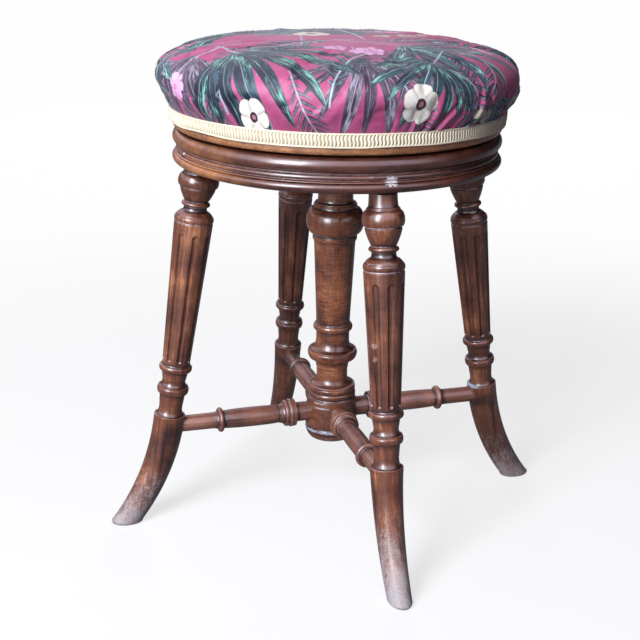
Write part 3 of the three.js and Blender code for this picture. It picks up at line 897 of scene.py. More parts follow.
    def _blossom(self) -> NodeTree:
        """Open blossom whose radius is 1, with overlapping petals notched to a depth.

        Returns:
            The node group.
        """
        graph, given, out = group(
            "Blossom", "v:Flower, f:Petals, f:Notch, f:Heart", "f:Mask, f:Shade, f:Heart, f:Eye",
        )
        x, y, number = graph.split(given["Flower"])
        reach = graph.measure("LENGTH", graph.join(x, y, 0.0))
        angle = graph.math("ARCTAN2", y, x) + number * 5.0
        turn = angle * given["Petals"] / FULL_TURN
        chance = graph.chance(turn.whole(), number)
        lobe = abs((angle * given["Petals"] * 0.5).sine())
        wobble = graph.noise(graph.join(x, y, number), 2.2, 2, 0.5) - 0.5
        edge = 1.0 - given["Notch"] * (1.0 - lobe**0.5) - chance * 0.12 + wobble * 0.16
        inside = graph.fade(edge - reach, 0.0, 0.05)
        seam = graph.fade(turn.part() * reach, 0.16, 0.0) * graph.fade(reach, 0.15, 0.5)
        ray = graph.noise(graph.join(turn * 7.0, reach * 0.8, number), 3.0, 3, 0.6)
        shade = seam * 0.8 + graph.fade(ray, 0.45, 0.75) * graph.fade(reach, 0.95, 0.2) * 0.7
        shade = shade + graph.fade(edge - reach, 0.09, 0.0) * 0.55 + chance * 0.18
        heart = graph.fade(reach + wobble * 0.25, given["Heart"] * 1.0, given["Heart"] * 0.85)
        graph.feed(
            out, Mask=inside, Shade=shade.least(1.0), Heart=heart,
            Eye=graph.fade(reach, given["Heart"] * 0.55, given["Heart"] * 0.35),
        )
        return graph.tree


# Finishes


def blank(name: str) -> tuple[Material, Graph, Node]:
    """Starts a material.

    Args:
        name: name of the material.

    Returns:
        The material, its graph and its shader.
    """
    material = bpy.data.materials.new(name)
    material.use_nodes = True
    graph = Graph(material.node_tree)
    return material, graph, graph.find("BSDF_PRINCIPLED")


@dataclass(frozen=True)
class Chip:
    """A chip or dab: its place and how far it spreads."""

    centre: Point
    spread: Point
    colour: Colour = srgb(214, 208, 214)


@dataclass(frozen=True)
class Mahogany:
    """Old polished mahogany."""

    name: str
    deep: Colour = srgb(44, 21, 16)
    middle: Colour = srgb(108, 62, 44)
    light: Colour = srgb(182, 120, 82)
    bare: Colour = srgb(168, 110, 78)
    # pale colour of dust in quirks and of worn edges; on the edges it also paints highlights
    pale: Colour = srgb(196, 170, 182)
    # colour of sunk places: old polish and grime, and painted shade
    dark: Colour = srgb(34, 18, 18)
    scuff: Colour = srgb(168, 161, 164)
    streak: float = 0.9
    figure: float = 0.3
    rub: float = 0.28
    polish: float = 0.28
    coat: float = 0.4
    scuff_clear: float = 0.097
    scuff_thick: float = 0.0
    scuffed: bool = False
    chips: tuple[Chip, ...] = ()

    def build(self, effects: Effects) -> Material:
        """Builds the material.

        Args:
            effects: the shared node groups.

        Returns:
            The material.
        """
        material, graph, shader = blank(self.name)
        way, spot = graph.read("grain").outputs["Vector"], graph.place()
        grain = graph.use(
            effects.grain, Vector=way, Deep=self.deep, Middle=self.middle, Light=self.light,
            Streak=self.streak, Figure=self.figure,
        )
        rubbed = graph.use(
            effects.rub, Color=grain.outputs["Color"], Bare=self.bare, Pale=self.pale, Dark=self.dark,
            Worn=graph.read("worn").outputs["Fac"], Sunk=graph.read("sunk").outputs["Fac"], Amount=self.rub,
            Vector=spot,
        )
        colour, dull = rubbed.outputs["Color"], graph.term(rubbed, "Pale")
        marks = []
        if self.scuffed:
            amount = graph.read("scuff").outputs["Fac"]
            ends = {"Clear": self.scuff_clear, "Thick": self.scuff_thick}
            marks.append((effects.dust, {"Scuff": self.scuff, "Grain": way, "Amount": amount, **ends}))
        for chip in self.chips:
            marks.append((effects.chip, {"Chip": chip.colour, "Centre": chip.centre, "Spread": chip.spread}))
        for effect, values in marks:
            mark = graph.use(effect, Color=colour, Place=spot, **values)
            colour, dull = mark.outputs["Color"], dull.most(graph.term(mark, "Mask"))
        smear = graph.noise(spot, 45.0, 4, 0.6)
        rough = smear * 0.25 + (self.polish - 0.1) + graph.term(rubbed, "Bare") * 0.08
        height = graph.term(grain, "Height") * 0.5 - dull * 0.6 + smear * 0.3
        graph.feed(
            shader, Base_Color=colour, Roughness=(rough + dull * 0.5).least(0.95),
            Normal=graph.bump(0.35, 0.0003, height), Specular_IOR_Level=0.7,
            Coat_Weight=self.coat - dull * self.coat, Coat_Roughness=0.18,
        )
        return material


@dataclass(frozen=True)
class Metal:
    """Plain metal with rust, oil or wear."""

    name: str
    colour: Colour
    stain: Colour
    roughness: float
    metallic: float

    def build(self) -> Material:
        """Builds the material.

        Returns:
            The material.
        """
        material, graph, shader = blank(self.name)
        spot = graph.place()
        patch = graph.noise(spot, 90.0, 5, 0.65)
        fine = graph.noise(spot, 900.0, 3, 0.6)
        stained = graph.fade(patch * 0.7 + fine * 0.4, 0.5, 0.72)
        graph.feed(
            shader, Base_Color=graph.mix(stained * 0.7, self.colour, self.stain),
            Roughness=stained * 0.3 + fine * 0.15 + self.roughness, Metallic=self.metallic - stained * 0.5,
            Normal=graph.bump(0.3, 0.0002, fine),
        )
        return material


@dataclass(frozen=True)
class Petals:
    """How one kind of blossom is drawn."""

    petal: Colour
    shade: Colour
    heart: Colour
    eye: Colour
    count: float
    notch: float
    heart_size: float


@dataclass(frozen=True)
class Greens:
    """Colours of one kind of leaf."""

    dark: Colour
    middle: Colour
    light: Colour
    vein: Colour


@dataclass(frozen=True)
class Cotton:
    """Satin cotton with a leaf and blossom print."""

    name: str = "printed cotton"
    ground: Colour = srgb(182, 84, 130)
    ground_deep: Colour = srgb(150, 56, 94)
    shadow: Greens = Greens(srgb(50, 40, 60), srgb(108, 90, 110), srgb(168, 160, 180), srgb(190, 184, 202))
    slate: Greens = Greens(srgb(16, 28, 44), srgb(52, 88, 98), srgb(136, 202, 184), srgb(190, 208, 222))
    teal: Greens = Greens(srgb(26, 38, 56), srgb(78, 116, 124), srgb(158, 214, 202), srgb(200, 210, 226))
    navy: Greens = Greens(srgb(14, 16, 34), srgb(34, 42, 66), srgb(104, 118, 124), srgb(150, 150, 160))
    cream: Petals = Petals(
        srgb(238, 234, 224), srgb(176, 162, 160), srgb(66, 34, 46), srgb(186, 130, 150), 5.0, 0.2, 0.27,
    )
    lilac: Petals = Petals(
        srgb(232, 178, 220), srgb(206, 124, 184), srgb(190, 92, 150), srgb(236, 196, 226), 7.0, 0.3, 0.16,
    )
    beige: Petals = Petals(
        srgb(204, 200, 176), srgb(140, 144, 124), srgb(74, 84, 66), srgb(150, 160, 120), 3.0, 0.75, 0.16,
    )

    def build(self, effects: Effects) -> Material:
        """Builds the material.

        Args:
            effects: the shared node groups.

        Returns:
            The material.
        """
        material, graph, shader = blank(self.name)
        cloth = graph.read("cloth").outputs["Vector"]
        wash = graph.noise(cloth, 28.0, 4, 0.6)
        colour = graph.mix(graph.fade(wash, 0.35, 0.7) * 0.6, self.ground, self.ground_deep)
        for name, tree, greens in (
            ("fan_back", effects.fan, self.shadow), ("fern_back", effects.fern, self.slate),
            ("fan_middle", effects.fan, self.teal), ("fern_front", effects.fern, self.teal),
            ("fern_small", effects.fern, self.shadow), ("fan_front", effects.fan, self.slate),
            ("fan_dark", effects.fan, self.navy),
        ):
            colour = self._leaf(graph, tree, name, colour, greens)
        flowers = {"beige_flower": self.beige, "pink_flower": self.lilac, "cream_flower": self.cream}
        for name, petals in flowers.items():
            colour = self._flower(graph, effects.blossom, name, colour, petals)
        weave = graph.use(effects.weave, Vector=cloth, Pitch=0.0005)
        slub = graph.noise(cloth, 900.0, 2, 0.5)
        graph.feed(
            shader, Base_Color=colour, Roughness=slub * 0.12 + 0.46,
            Normal=graph.bump(0.25, 0.0002, graph.term(weave) * 0.5 + slub * 0.5), Sheen_Weight=0.1,
            Sheen_Roughness=0.4,
        )
        return material

    @staticmethod
    def _leaf(graph: Graph, tree: NodeTree, name: str, colour: Input, greens: Greens) -> NodeSocket:
        """Paints one layer of leaves over a colour.

        Args:
            graph: graph of the material.
            tree: the leaf's node group.
            name: name of the layer.
            colour: colour below the layer.
            greens: colours of the leaf.

        Returns:
            The colour with the layer on it.
        """
        drawn = graph.use(tree, Leaf=graph.read(name).outputs["Vector"])
        tone = graph.term(drawn, "Tone")
        green = graph.mix(graph.fade(tone, 0.15, 0.8), greens.dark, greens.middle)
        green = graph.mix(graph.term(drawn, "Light") * graph.fade(tone, 0.0, 0.7), green, greens.light)
        green = graph.mix(graph.term(drawn, "Vein") * 0.75, green, greens.vein)
        return graph.mix(drawn.outputs["Mask"], colour, green)

    @staticmethod
    def _flower(graph: Graph, tree: NodeTree, name: str, colour: Input, petals: Petals) -> NodeSocket:
        """Paints one layer of blossoms over a colour.

        Args:
            graph: graph of the material.
            tree: the blossom's node group.
            name: name of the layer.
            colour: colour below the layer.
            petals: how the blossom is drawn.

        Returns:
            The colour with the layer on it.
        """
        drawn = graph.use(
            tree, Flower=graph.read(name).outputs["Vector"], Petals=petals.count, Notch=petals.notch,
            Heart=petals.heart_size,
        )
        shade = graph.mix(graph.term(drawn, "Shade") * 0.75, petals.petal, petals.shade)
        shade = graph.mix(drawn.outputs["Heart"], shade, petals.heart)
        shade = graph.mix(graph.term(drawn, "Eye") * 0.8, shade, petals.eye)
        return graph.mix(drawn.outputs["Mask"], colour, shade)


@dataclass(frozen=True)
class Braid:
    """Cream upholstery gimp."""

    name: str = "cream gimp"
    thread: Colour = srgb(232, 222, 200)
    shade: Colour = srgb(206, 190, 156)
    # colour of the tape between the ribs: painted shade in the gaps
    gap: Colour = srgb(194, 181, 154)

    def build(self) -> Material:
        """Builds the material.

        Returns:
            The material.
        """
        material, graph, shader = blank(self.name)
        spot = graph.place()
        patch = graph.noise(spot, 60.0, 3, 0.5)
        yarn = graph.noise(spot, 1500.0, 2, 0.6)
        tone = graph.fade(patch * 0.5 + yarn * 0.5, 0.42, 0.62)
        proud = graph.read("proud").outputs["Fac"]
        colour = graph.mix(tone * 0.5, self.thread, self.shade)
        # painted shade: the tape goes darker where the ribs do not stand proud
        colour = graph.mix(graph.fade(proud, 0.7, 0.1), colour, self.gap)
        normal = graph.bump(0.5, 0.0002, yarn)
        graph.feed(shader, Base_Color=colour, Roughness=0.7, Sheen_Weight=0.25, Normal=normal)
        return material


# Repeats by geometry nodes


class Repeats:
    """Geometry node trees that copy a form round the axis or sweep it along a helix."""

    def __init__(self) -> None:
        """Builds both trees."""
        self.ring = self._ring()
        self.thread = self._thread()

    @staticmethod
    def _finished(graph: Graph, given: dict[str, Term], out: Node, made: Node) -> NodeTree:
        """Makes copies real and gives them their finish, at the end of a tree.

        Args:
            graph: graph of the tree.
            given: the tree's inputs by name.
            out: its output node.
            made: the node that makes the copies.

        Returns:
            The tree.
        """
        real = graph.add("GeometryNodeRealizeInstances", {"Geometry": made.outputs[0]})
        done = {"Geometry": real.outputs[0], "Material": given["Finish"]}
        graph.feed(out, Geometry=graph.add("GeometryNodeSetMaterial", done).outputs[0])
        return graph.tree

    def _ring(self) -> NodeTree:
        """Copies a form that stands at its radius, evenly round +Z.

        Returns:
            The tree.
        """
        graph, given, out = group(
            "Ring of copies", "g:Geometry, i:Count, f:Sway, m:Finish", "g:Geometry", "GeometryNodeTree",
        )
        points = graph.add("GeometryNodePoints", {"Count": given["Count"]})
        index = graph.add("GeometryNodeInputIndex")
        sway = {"Seed": 7, 2: given["Sway"] * -1.0, 3: given["Sway"]}
        jitter = graph.add("FunctionNodeRandomValue", sway, data_type="FLOAT")
        angle = graph.term(index) / given["Count"] * FULL_TURN + graph.term(jitter, 1)
        copies = graph.add(
            "GeometryNodeInstanceOnPoints",
            {
                "Points": points.outputs[0], "Instance": given["Geometry"],
                "Rotation": graph.join(0.0, 0.0, angle),
            },
        )
        return self._finished(graph, given, out, copies)

    def _thread(self) -> NodeTree:
        """Sweeps a square thread along a helix that starts at the origin.

        Returns:
            The tree.
        """
        graph, given, out = group(
            "Screw thread", "g:Geometry, f:Radius, f:Turns, f:Length, f:Root, f:Crest, f:Depth, m:Finish",
            "g:Geometry", "GeometryNodeTree",
        )
        helix = graph.add(
            "GeometryNodeCurveSpiral",
            {
                "Resolution": 40, "Rotations": given["Turns"], "Start Radius": given["Radius"],
                "End Radius": given["Radius"], "Height": given["Length"], "Reverse": False,
            },
        )
        upright = graph.add("GeometryNodeSetCurveNormal", {"Curve": helix.outputs[0]}, mode="Z_UP")
        widths = {"Bottom Width": given["Root"], "Top Width": given["Crest"]}
        section = graph.add(
            "GeometryNodeCurvePrimitiveQuadrilateral", {**widths, "Height": given["Depth"], "Offset": 0.0},
            mode="TRAPEZOID",
        )
        way = {"Geometry": section.outputs[0], "Rotation": (0.0, 0.0, -math.pi / 2)}
        turned = graph.add("GeometryNodeTransform", way)
        ridge = graph.add(
            "GeometryNodeCurveToMesh",
            {"Curve": upright.outputs[0], "Profile Curve": turned.outputs[0], "Fill Caps": True},
        )
        both = graph.add("GeometryNodeJoinGeometry")
        graph.set(both.inputs[0], given["Geometry"])
        graph.set(both.inputs[0], ridge.outputs[0])
        return self._finished(graph, given, out, both)

    @staticmethod
    def apply(name: str, tree: NodeTree, base: Mesh, values: dict) -> Mesh:
        """Runs a tree on a mesh.

        Args:
            name: name of the new mesh.
            tree: the geometry node tree.
            base: mesh that goes into the tree.
            values: the tree's inputs by name.

        Returns:
            The result as a plain mesh.
        """
        carrier = linked(name, base)
        modifier = carrier.modifiers.new("Repeat", "NODES")
        modifier.node_group = tree
        sockets = {s.name: s.identifier for s in tree.interface.items_tree if s.in_out == "INPUT"}
        for label, value in values.items():
            modifier[sockets[label]] = value
        mesh = outcome(carrier)
        mesh.name = name
        bpy.data.objects.remove(carrier)
        return mesh

    def round_axis(self, name: str, base: Mesh, finish: Material, count: int, sway: float = 0.0) -> Mesh:
        """Copies a mesh round +Z, each copy up to a sway off its even place."""
        values = {"Count": count, "Sway": sway, "Finish": finish}
        return self.apply(name, self.ring, base, values)


def joined(name: str, meshes: list[Mesh]) -> Mesh:
    """Joins meshes into one.

    Args:
        name: name of the new mesh.
        meshes: the meshes.

    Returns:
        One mesh of them all.
    """
    work = bmesh.new()
    for mesh in meshes:
        work.from_mesh(mesh)
    whole = bpy.data.meshes.new(name)
    work.to_mesh(whole)
    work.free()
    whole.shade_smooth()
    return whole


def carved(mesh: Mesh, cutter: Mesh) -> Mesh:
    """Cuts one mesh out of another.

    Args:
        mesh: the mesh that is cut.
        cutter: the mesh that cuts it.

    Returns:
        The cut mesh.
    """
    block, tool = linked(mesh.name, mesh), linked(cutter.name, cutter)
    modifier = block.modifiers.new("Carve", "BOOLEAN")
    modifier.operation = "DIFFERENCE"
    modifier.solver = "EXACT"
    modifier.object = tool
    result = outcome(block)
    result.name = mesh.name
    for piece in (block, tool):
        bpy.data.objects.remove(piece)
    result.shade_smooth()
    return result


# The frame


@dataclass(frozen=True)
class Turning:
    """Members above a leg's shaft, and the share of the turned length that they take."""

    length_share: float
    members: tuple[Member, ...]


@dataclass
class Legs:
    """Four fluted legs with outswept sabre feet."""

    repeats: Repeats
    finish: Material
    lean: float = math.radians(8)
    inset: float = 0.0253
    turned_length: float = 0.2629
    bulb_radius: float = 0.0204
    shaft_top_radius: float = 0.0194
    shaft_foot_radius: float = 0.0141
    foot_height: float = 0.116
    bend_radius: float = 0.24
    collar_radius: float = 0.0161
    sole_half_width: float = 0.0115
    sole_half_depth: float = 0.013
    sole_rounding: float = 0.003
    flute_count: int = 8
    flute_top_width: float = 0.0076
    flute_foot_width: float = 0.0058
    flute_depth: float = 0.0024
    flute_top_margin: float = 0.0095
    flute_foot_margin: float = 0.0026
    around: int = 96
    foot_steps: int = 70
    neck_share: float = 0.647
    shaft_foot_share: float = 0.7755
    usual: Turning = Turning(
        0.276,
        (
            cove(0.052, 0.71), step(0.004, 0.745), step(0.006, 0.785), bead(0.057, 0.84, 1.0),
            step(0.003, 0.815), taper(0.002, 0.845), bead(0.0635, 0.545, 0.895), bead(0.0185, 0.57, 0.71),
            taper(0.0085, 0.565), cove(0.0155, 0.69), bead(0.015, 0.87, 0.9), step(0.002, 0.845),
            step(0.0045, 0.935), bead(0.0195, 0.915, 0.975), step(0.005, 0.895),
        ),
    )
    left: Turning = Turning(
        0.209,
        (
            cove(0.0135, 0.72), step(0.004, 0.75), step(0.006, 0.79), bead(0.05, 0.845, 1.02),
            step(0.002, 0.82), taper(0.001, 0.85), bead(0.0515, 0.545, 0.9), bead(0.018, 0.57, 0.71),
            taper(0.006, 0.565), cove(0.0145, 0.69), bead(0.0145, 0.87, 0.9), step(0.002, 0.845),
            step(0.0045, 0.935), bead(0.0175, 0.915, 0.975), step(0.004, 0.895),
        ),
    )
    foot_members: tuple[Member, ...] = (
        cove(0.005, 0.75), bead(0.023, 0.74, 0.835), step(0.006, 0.66), taper(0.034, 0.583),
        cove(0.024, 0.725), step(0.0055, 0.765), bead(0.024, 0.73, 0.81), step(0.0065, 0.64),
        taper(0.0505, 0.583), cove(0.034, 0.73),
    )
    rim_radius: float = 0.165
    scuffs: tuple[float, ...] = (1.08, 0.86, 0.55, 0.9)
    grain_shift: Point = (0.31, 0.17, 0.53)
    sharp: float = math.radians(40)
    underside: float = field(init=False)
    sole_angle: float = field(init=False)
    frame: Matrix = field(init=False)

    def __post_init__(self) -> None:
        """Works out the sole's angle and the front leg's own frame."""
        self.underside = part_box("platform")[0].z
        self.sole_angle = math.asin(math.sin(self.lean) + self.foot_height / self.bend_radius)
        direction = self._direction(self.lean)
        across = Vector((1, 0, 0))
        columns = (across, direction.cross(across), direction)
        self.frame = Matrix.Translation(self._top()) @ Matrix(columns).transposed().to_4x4()

    @staticmethod
    def _direction(angle: float) -> Vector:
        """Way down the front leg at an angle from upright."""
        return Vector((0, -math.sin(angle), -math.cos(angle)))

    def _top(self) -> Vector:
        """Middle of the front leg's head."""
        return Vector((0, self.inset - self.rim_radius, self.underside))

    def _shaft(self, turning: Turning) -> tuple[float, float]:
        """Top and foot of the fluted shaft, along the leg."""
        return turning.length_share * self.turned_length, self.shaft_foot_share * self.turned_length

    def profile(self, turning: Turning) -> np.ndarray:
        """Outline of the turned length, down to the foot collar.

        Args:
            turning: members above the shaft, and their share of the length.

        Returns:
            Rows of radius and place.
        """
        outline = Outline(self.turned_length, self.bulb_radius, self.neck_share)
        outline.turn(turning.members)
        shaft_top, shaft_foot = self._shaft(turning)
        outline.points += [(self.shaft_top_radius, shaft_top), (self.shaft_foot_radius, shaft_foot)]
        outline.turn(self.foot_members)
        outline.points += [
            (self.collar_radius, outline.points[-1][1]), (self.collar_radius, self.turned_length),
        ]
        return outline.profile()

    def _foot_skin(self, angle: np.ndarray, turn: np.ndarray) -> np.ndarray:
        """Finds places on the foot's skin.

        Args:
            angle: angles along its bend, from upright.
            turn: angles round it.

        Returns:
            One row of X, Y and Z an angle.
        """
        swept = np.clip((angle - self.lean) / (self.sole_angle - self.lean), 0, 1)
        width = self.collar_radius + (self.sole_half_width - self.collar_radius) * swept**0.8
        depth = self.collar_radius + (self.sole_half_depth - self.collar_radius) * swept**1.5
        out = self.bend_radius * (math.cos(self.lean) - np.cos(angle))
        down = self.bend_radius * (np.sin(angle) - math.sin(self.lean))
        across = depth * np.sin(turn)
        start = self._top() + self._direction(self.lean) * self.turned_length
        y = start.y - out - across * np.cos(angle)
        return np.stack([width * np.cos(turn), y, start.z - down + across * np.sin(angle)], axis=1)

    def _foot_rings(self) -> np.ndarray:
        """Sweeps the sabre foot, from its collar down to the eased edge of its sole.

        Returns:
            Places, as rings by points by three.
        """
        turn = np.arange(self.around) * FULL_TURN / self.around
        above = np.full(self.around, self.lean)
        below = np.full(self.around, self.sole_angle + self.lean * 2)
        for _ in range(30):
            half = (above + below) / 2
            clear = self._foot_skin(half, turn)[:, 2] > self.sole_rounding
            above, below = np.where(clear, half, above), np.where(clear, below, half)
        shares = np.linspace(0, 1, self.foot_steps)[1:]
        rings = [self._foot_skin(self.lean + (above - self.lean) * share, turn) for share in shares]
        last = rings[-1]
        inward = (last.mean(axis=0) - last) * (1, 1, 0)
        inward /= np.linalg.norm(inward, axis=1)[:, None]
        for bend in np.linspace(0, math.pi / 2, 5)[1:]:
            ring = last + inward * self.sole_rounding * (1 - math.cos(bend))
            ring[:, 2] = self.sole_rounding * (1 - math.sin(bend))
            rings.append(ring)
        return np.array(rings)

    def _flutes(self, turning: Turning) -> Mesh:
        """Makes a ring of round-ended scoops that cut the flutes.

        Args:
            turning: members above the shaft, and their share of the length.

        Returns:
            The scoops as one mesh, in the leg's own frame.
        """
        shaft_top, shaft_foot = self._shaft(turning)
        ends = (
            (shaft_top + self.flute_top_margin, self.flute_top_width, 1),
            (shaft_foot - self.flute_foot_margin, self.flute_foot_width, -1),
        )
        radii, middles = [], []
        for along, width, side in ends:
            share = (along - shaft_top) / (shaft_foot - shaft_top)
            surface = self.shaft_top_radius + (self.shaft_foot_radius - self.shaft_top_radius) * share
            radius = ((width / 2) ** 2 + self.flute_depth**2) / (2 * self.flute_depth)
            radii.append(radius)
            middles.append(Vector((surface + radius - self.flute_depth, 0, along + side * width / 2)))
        run = middles[1] - middles[0]
        turn = np.linspace(0, math.pi / 2, 9)
        start = np.stack([radii[0] * np.sin(turn), -radii[0] * np.cos(turn)], axis=1)
        end = np.stack([radii[1] * np.cos(turn), run.length + radii[1] * np.sin(turn)], axis=1)
        scoop = skin("scoop", turned_rings(np.concatenate([start, end]), 24))
        scoop.transform(Matrix.Translation(middles[0]) @ run.to_track_quat("Z", "Y").to_matrix().to_4x4())
        return self.repeats.round_axis("flutes", scoop, self.finish, self.flute_count)

    def _shape(self, turning: Turning) -> Mesh:
        """Makes a leg at the front in its own frame.

        Args:
            turning: members above the shaft, and their share of the length.

        Returns:
            The leg's mesh.
        """
        profile = self.profile(turning)
        back = np.array(self.frame.inverted())
        foot = self._foot_rings()
        local = foot @ back[:3, :3].T + back[:3, 3]
        head = turned_rings(np.array([(profile[0, 0], -self.bulb_radius)]), self.around)
        rings = np.concatenate([head, turned_rings(profile, self.around), local])
        way = np.array(self.frame)
        placed = rings @ way[:3, :3].T + way[:3, 3]
        over = np.maximum(placed[..., 2] - self.underside, 0) / math.cos(self.lean)
        rings[..., 2] += over
        return carved(skin("leg", rings), self._flutes(turning))

    def build(self) -> None:
        """Builds the four legs and dresses them."""
        usual = self._shape(self.usual)
        for index, quarter in enumerate(QUARTERS):
            turning = self.left if quarter == "left" else self.usual
            mesh = self._shape(turning) if turning is self.left else usual.copy()
            mesh.name = f"{quarter}_leg_turned"
            turn = Matrix.Rotation(index * math.pi / 2, 4, "Z")
            mark_wood(mesh, turn @ self.frame, self.profile(turning), hollow=self.flute_depth / 4)
            store(mesh, "grain", vectors_of(mesh, "grain") + np.array(self.grain_shift) * index)
            store(mesh, "scuff", np.full(len(mesh.vertices), self.scuffs[index]))
            mesh.set_sharp_from_angle(angle=self.sharp)
            publish(mesh, self.finish, Body.FRAME, Slot.MAHOGANY, f"{quarter}_leg")


@dataclass
class Stretchers:
    """Four turned stretchers between the column and the legs."""

    finish: Material
    radius: float = 0.0152
    around: int = 64
    grain_shift: Point = (0.13, 0.41, 0.23)
    root_share: float = 0.68
    members: tuple[Member, ...] = (
        step(0.165, 0.68), step(0.022, 0.96), bead(0.022, 0.94, 1.0), step(0.005, 0.84),
        bead(0.026, 0.84, 0.93), cove(0.035, 0.665), step(0.005, 0.61), bead(0.37, 0.6, 0.69),
        step(0.004, 0.64), bead(0.036, 0.66, 0.87), cove(0.045, 0.56), taper(0.265, 0.55),
    )

    def build(self) -> None:
        """Builds the stretchers and dresses them."""
        low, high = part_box("front_stretcher")
        length = high.y - low.y
        outline = Outline(length, self.radius, 0.0, softening=0.0004)
        outline.points.append((self.root_share * self.radius, 0.0))
        outline.turn(self.members)
        outline.points.append((0.0, outline.points[-1][1]))
        profile = outline.profile()
        middle = (low.z + high.z) / 2
        down = Vector((0, -1, 0)).to_track_quat("Z", "Y").to_matrix().to_4x4()
        frame = Matrix.Translation((0, high.y, middle)) @ down
        for index, quarter in enumerate(QUARTERS):
            mesh = skin(f"{quarter}_stretcher_turned", turned_rings(profile, self.around))
            mark_wood(mesh, Matrix.Rotation(index * math.pi / 2, 4, "Z") @ frame, profile)
            store(mesh, "grain", vectors_of(mesh, "grain") + np.array(self.grain_shift) * index)
            publish(mesh, self.finish, Body.FRAME, Slot.MAHOGANY, f"{quarter}_stretcher")


@dataclass
class Column:
    """Turned column that hides the screw."""

    finish: Material
    radius: float = 0.0301
    around: int = 128
    grimy: float = 0.05
    grime: float = 0.3
    dust: float = 1.45
    dusty: float = 0.0118
    dust_spread: float = 0.0028
    scuff: float = 0.5
    neck_share: float = 0.595
    members: tuple[Member, ...] = (
        taper(0.123, 0.6), cove(0.014, 0.655), step(0.006, 0.71), step(0.006, 0.745), taper(0.006, 0.755),
        bead(0.09, 0.765, 1.0), step(0.008, 0.735), step(0.012, 0.765), cove(0.022, 0.705),
        taper(0.283, 0.585), step(0.004, 0.635), bead(0.0195, 0.635, 0.69), step(0.036, 0.58),
        cove(0.037, 0.8), step(0.005, 0.845), bead(0.0285, 0.78, 0.895), cove(0.0335, 0.565),
        step(0.034, 0.545), cove(0.0285, 0.765), step(0.0075, 0.815), bead(0.017, 0.8, 0.84),
        bead(0.0185, 0.81, 0.855), step(0.0065, 0.81), step(0.004, 0.86), bead(0.0975, 0.915, 0.93),
        cove(0.006, 0.885), bead(0.044, 0.74, 0.965),
    )

    def build(self) -> None:
        """Builds the column and dresses it."""
        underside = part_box("platform")[0].z
        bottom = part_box("column")[0].z
        outline = Outline(underside - bottom, self.radius, self.neck_share)
        outline.turn(self.members)
        outline.points.append((0.0, outline.points[-1][1]))
        profile = outline.profile()
        profile[:, 1] = np.minimum(profile[:, 1], underside - bottom)
        mesh = skin("column_turned", turned_rings(profile, self.around))
        frame = Matrix.Translation((0, 0, underside)) @ Matrix.Rotation(math.pi, 4, "X")
        mark_wood(mesh, frame, profile)
        store(mesh, "scuff", np.full(len(mesh.vertices), self.scuff))
        height = coordinates(mesh)[:, 2] - bottom
        rise = np.clip(height / self.grimy - 1, 0, 1)
        ledge = np.exp(-(((height - self.dusty) / self.dust_spread) ** 2)) * self.dust
        store(mesh, "sunk", np.maximum.reduce([numbers_of(mesh, "sunk"), (1 - rise) * self.grime, ledge]))
        publish(mesh, self.finish, Body.FRAME, Slot.MAHOGANY, "column")


@dataclass
class Platform:
    """Moulded round platform, bored for the iron socket."""

    finish: Material
    radius: float = 0.165
    around: int = 256
    top_share: float = 0.957
    # bearing of a rubbed, lighter patch on the rim: wear, and painted light on the window side
    worn_and_lit_bearing: float = math.radians(-168)
    rubbed_from: float = 0.97
    lower_share: float = 0.4
    lower_wear: float = 0.95
    upper_wear: float = 0.7
    rest_wear: float = 0.25
    members: tuple[Member, ...] = (
        bead(0.365, 0.968, 1.0), step(0.012, 0.962), bead(0.05, 0.964, 0.974), step(0.012, 0.962),
        bead(0.135, 0.966, 0.977), step(0.012, 0.964), bead(0.05, 0.978, 0.987), step(0.01, 0.97),
        bead(0.255, 0.965, 1.0), cove(0.04, 0.94), taper(0.059, 0.88),
    )

    def build(self) -> None:
        """Builds the platform and dresses it."""
        low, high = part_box("platform")
        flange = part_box("screw_socket")[1].x + GAP
        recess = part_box("socket_screw_1")[1].z - FLANGE - GAP
        thickness = high.z - low.z
        outline = Outline(thickness, self.radius, 0.0)
        outline.points = [
            (0.0, high.z - recess), (flange, high.z - recess), (flange, 0.0),
            (self.top_share * self.radius, 0.0),
        ]
        outline.turn(self.members)
        outline.points.append((0.0, outline.points[-1][1]))
        profile = outline.profile()
        profile[:, 1] = np.minimum(profile[:, 1], thickness)
        mesh = skin("platform_moulded", turned_rings(profile, self.around))
        frame = Matrix.Translation((0, 0, high.z)) @ Matrix.Rotation(math.pi, 4, "X")
        mark_wood(mesh, frame, profile)
        flat = coordinates(mesh)
        store(mesh, "grain", flat[:, [1, 2, 0]])
        # a rubbed patch on the window side: worn through, and painted lighter as that side looks lit
        aside = np.cos(bearing_of(flat) - self.worn_and_lit_bearing)
        outer = reach_of(flat) > self.radius * self.rubbed_from
        share = np.where(flat[:, 2] < low.z + thickness * self.lower_share, self.lower_wear, self.upper_wear)
        patch = np.clip((aside - 0.8) / 0.18, 0, 1) * outer * share
        store(mesh, "worn", np.maximum(numbers_of(mesh, "worn") * self.rest_wear, patch))
        publish(mesh, self.finish, Body.FRAME, Slot.MAHOGANY, "platform")


# The metal


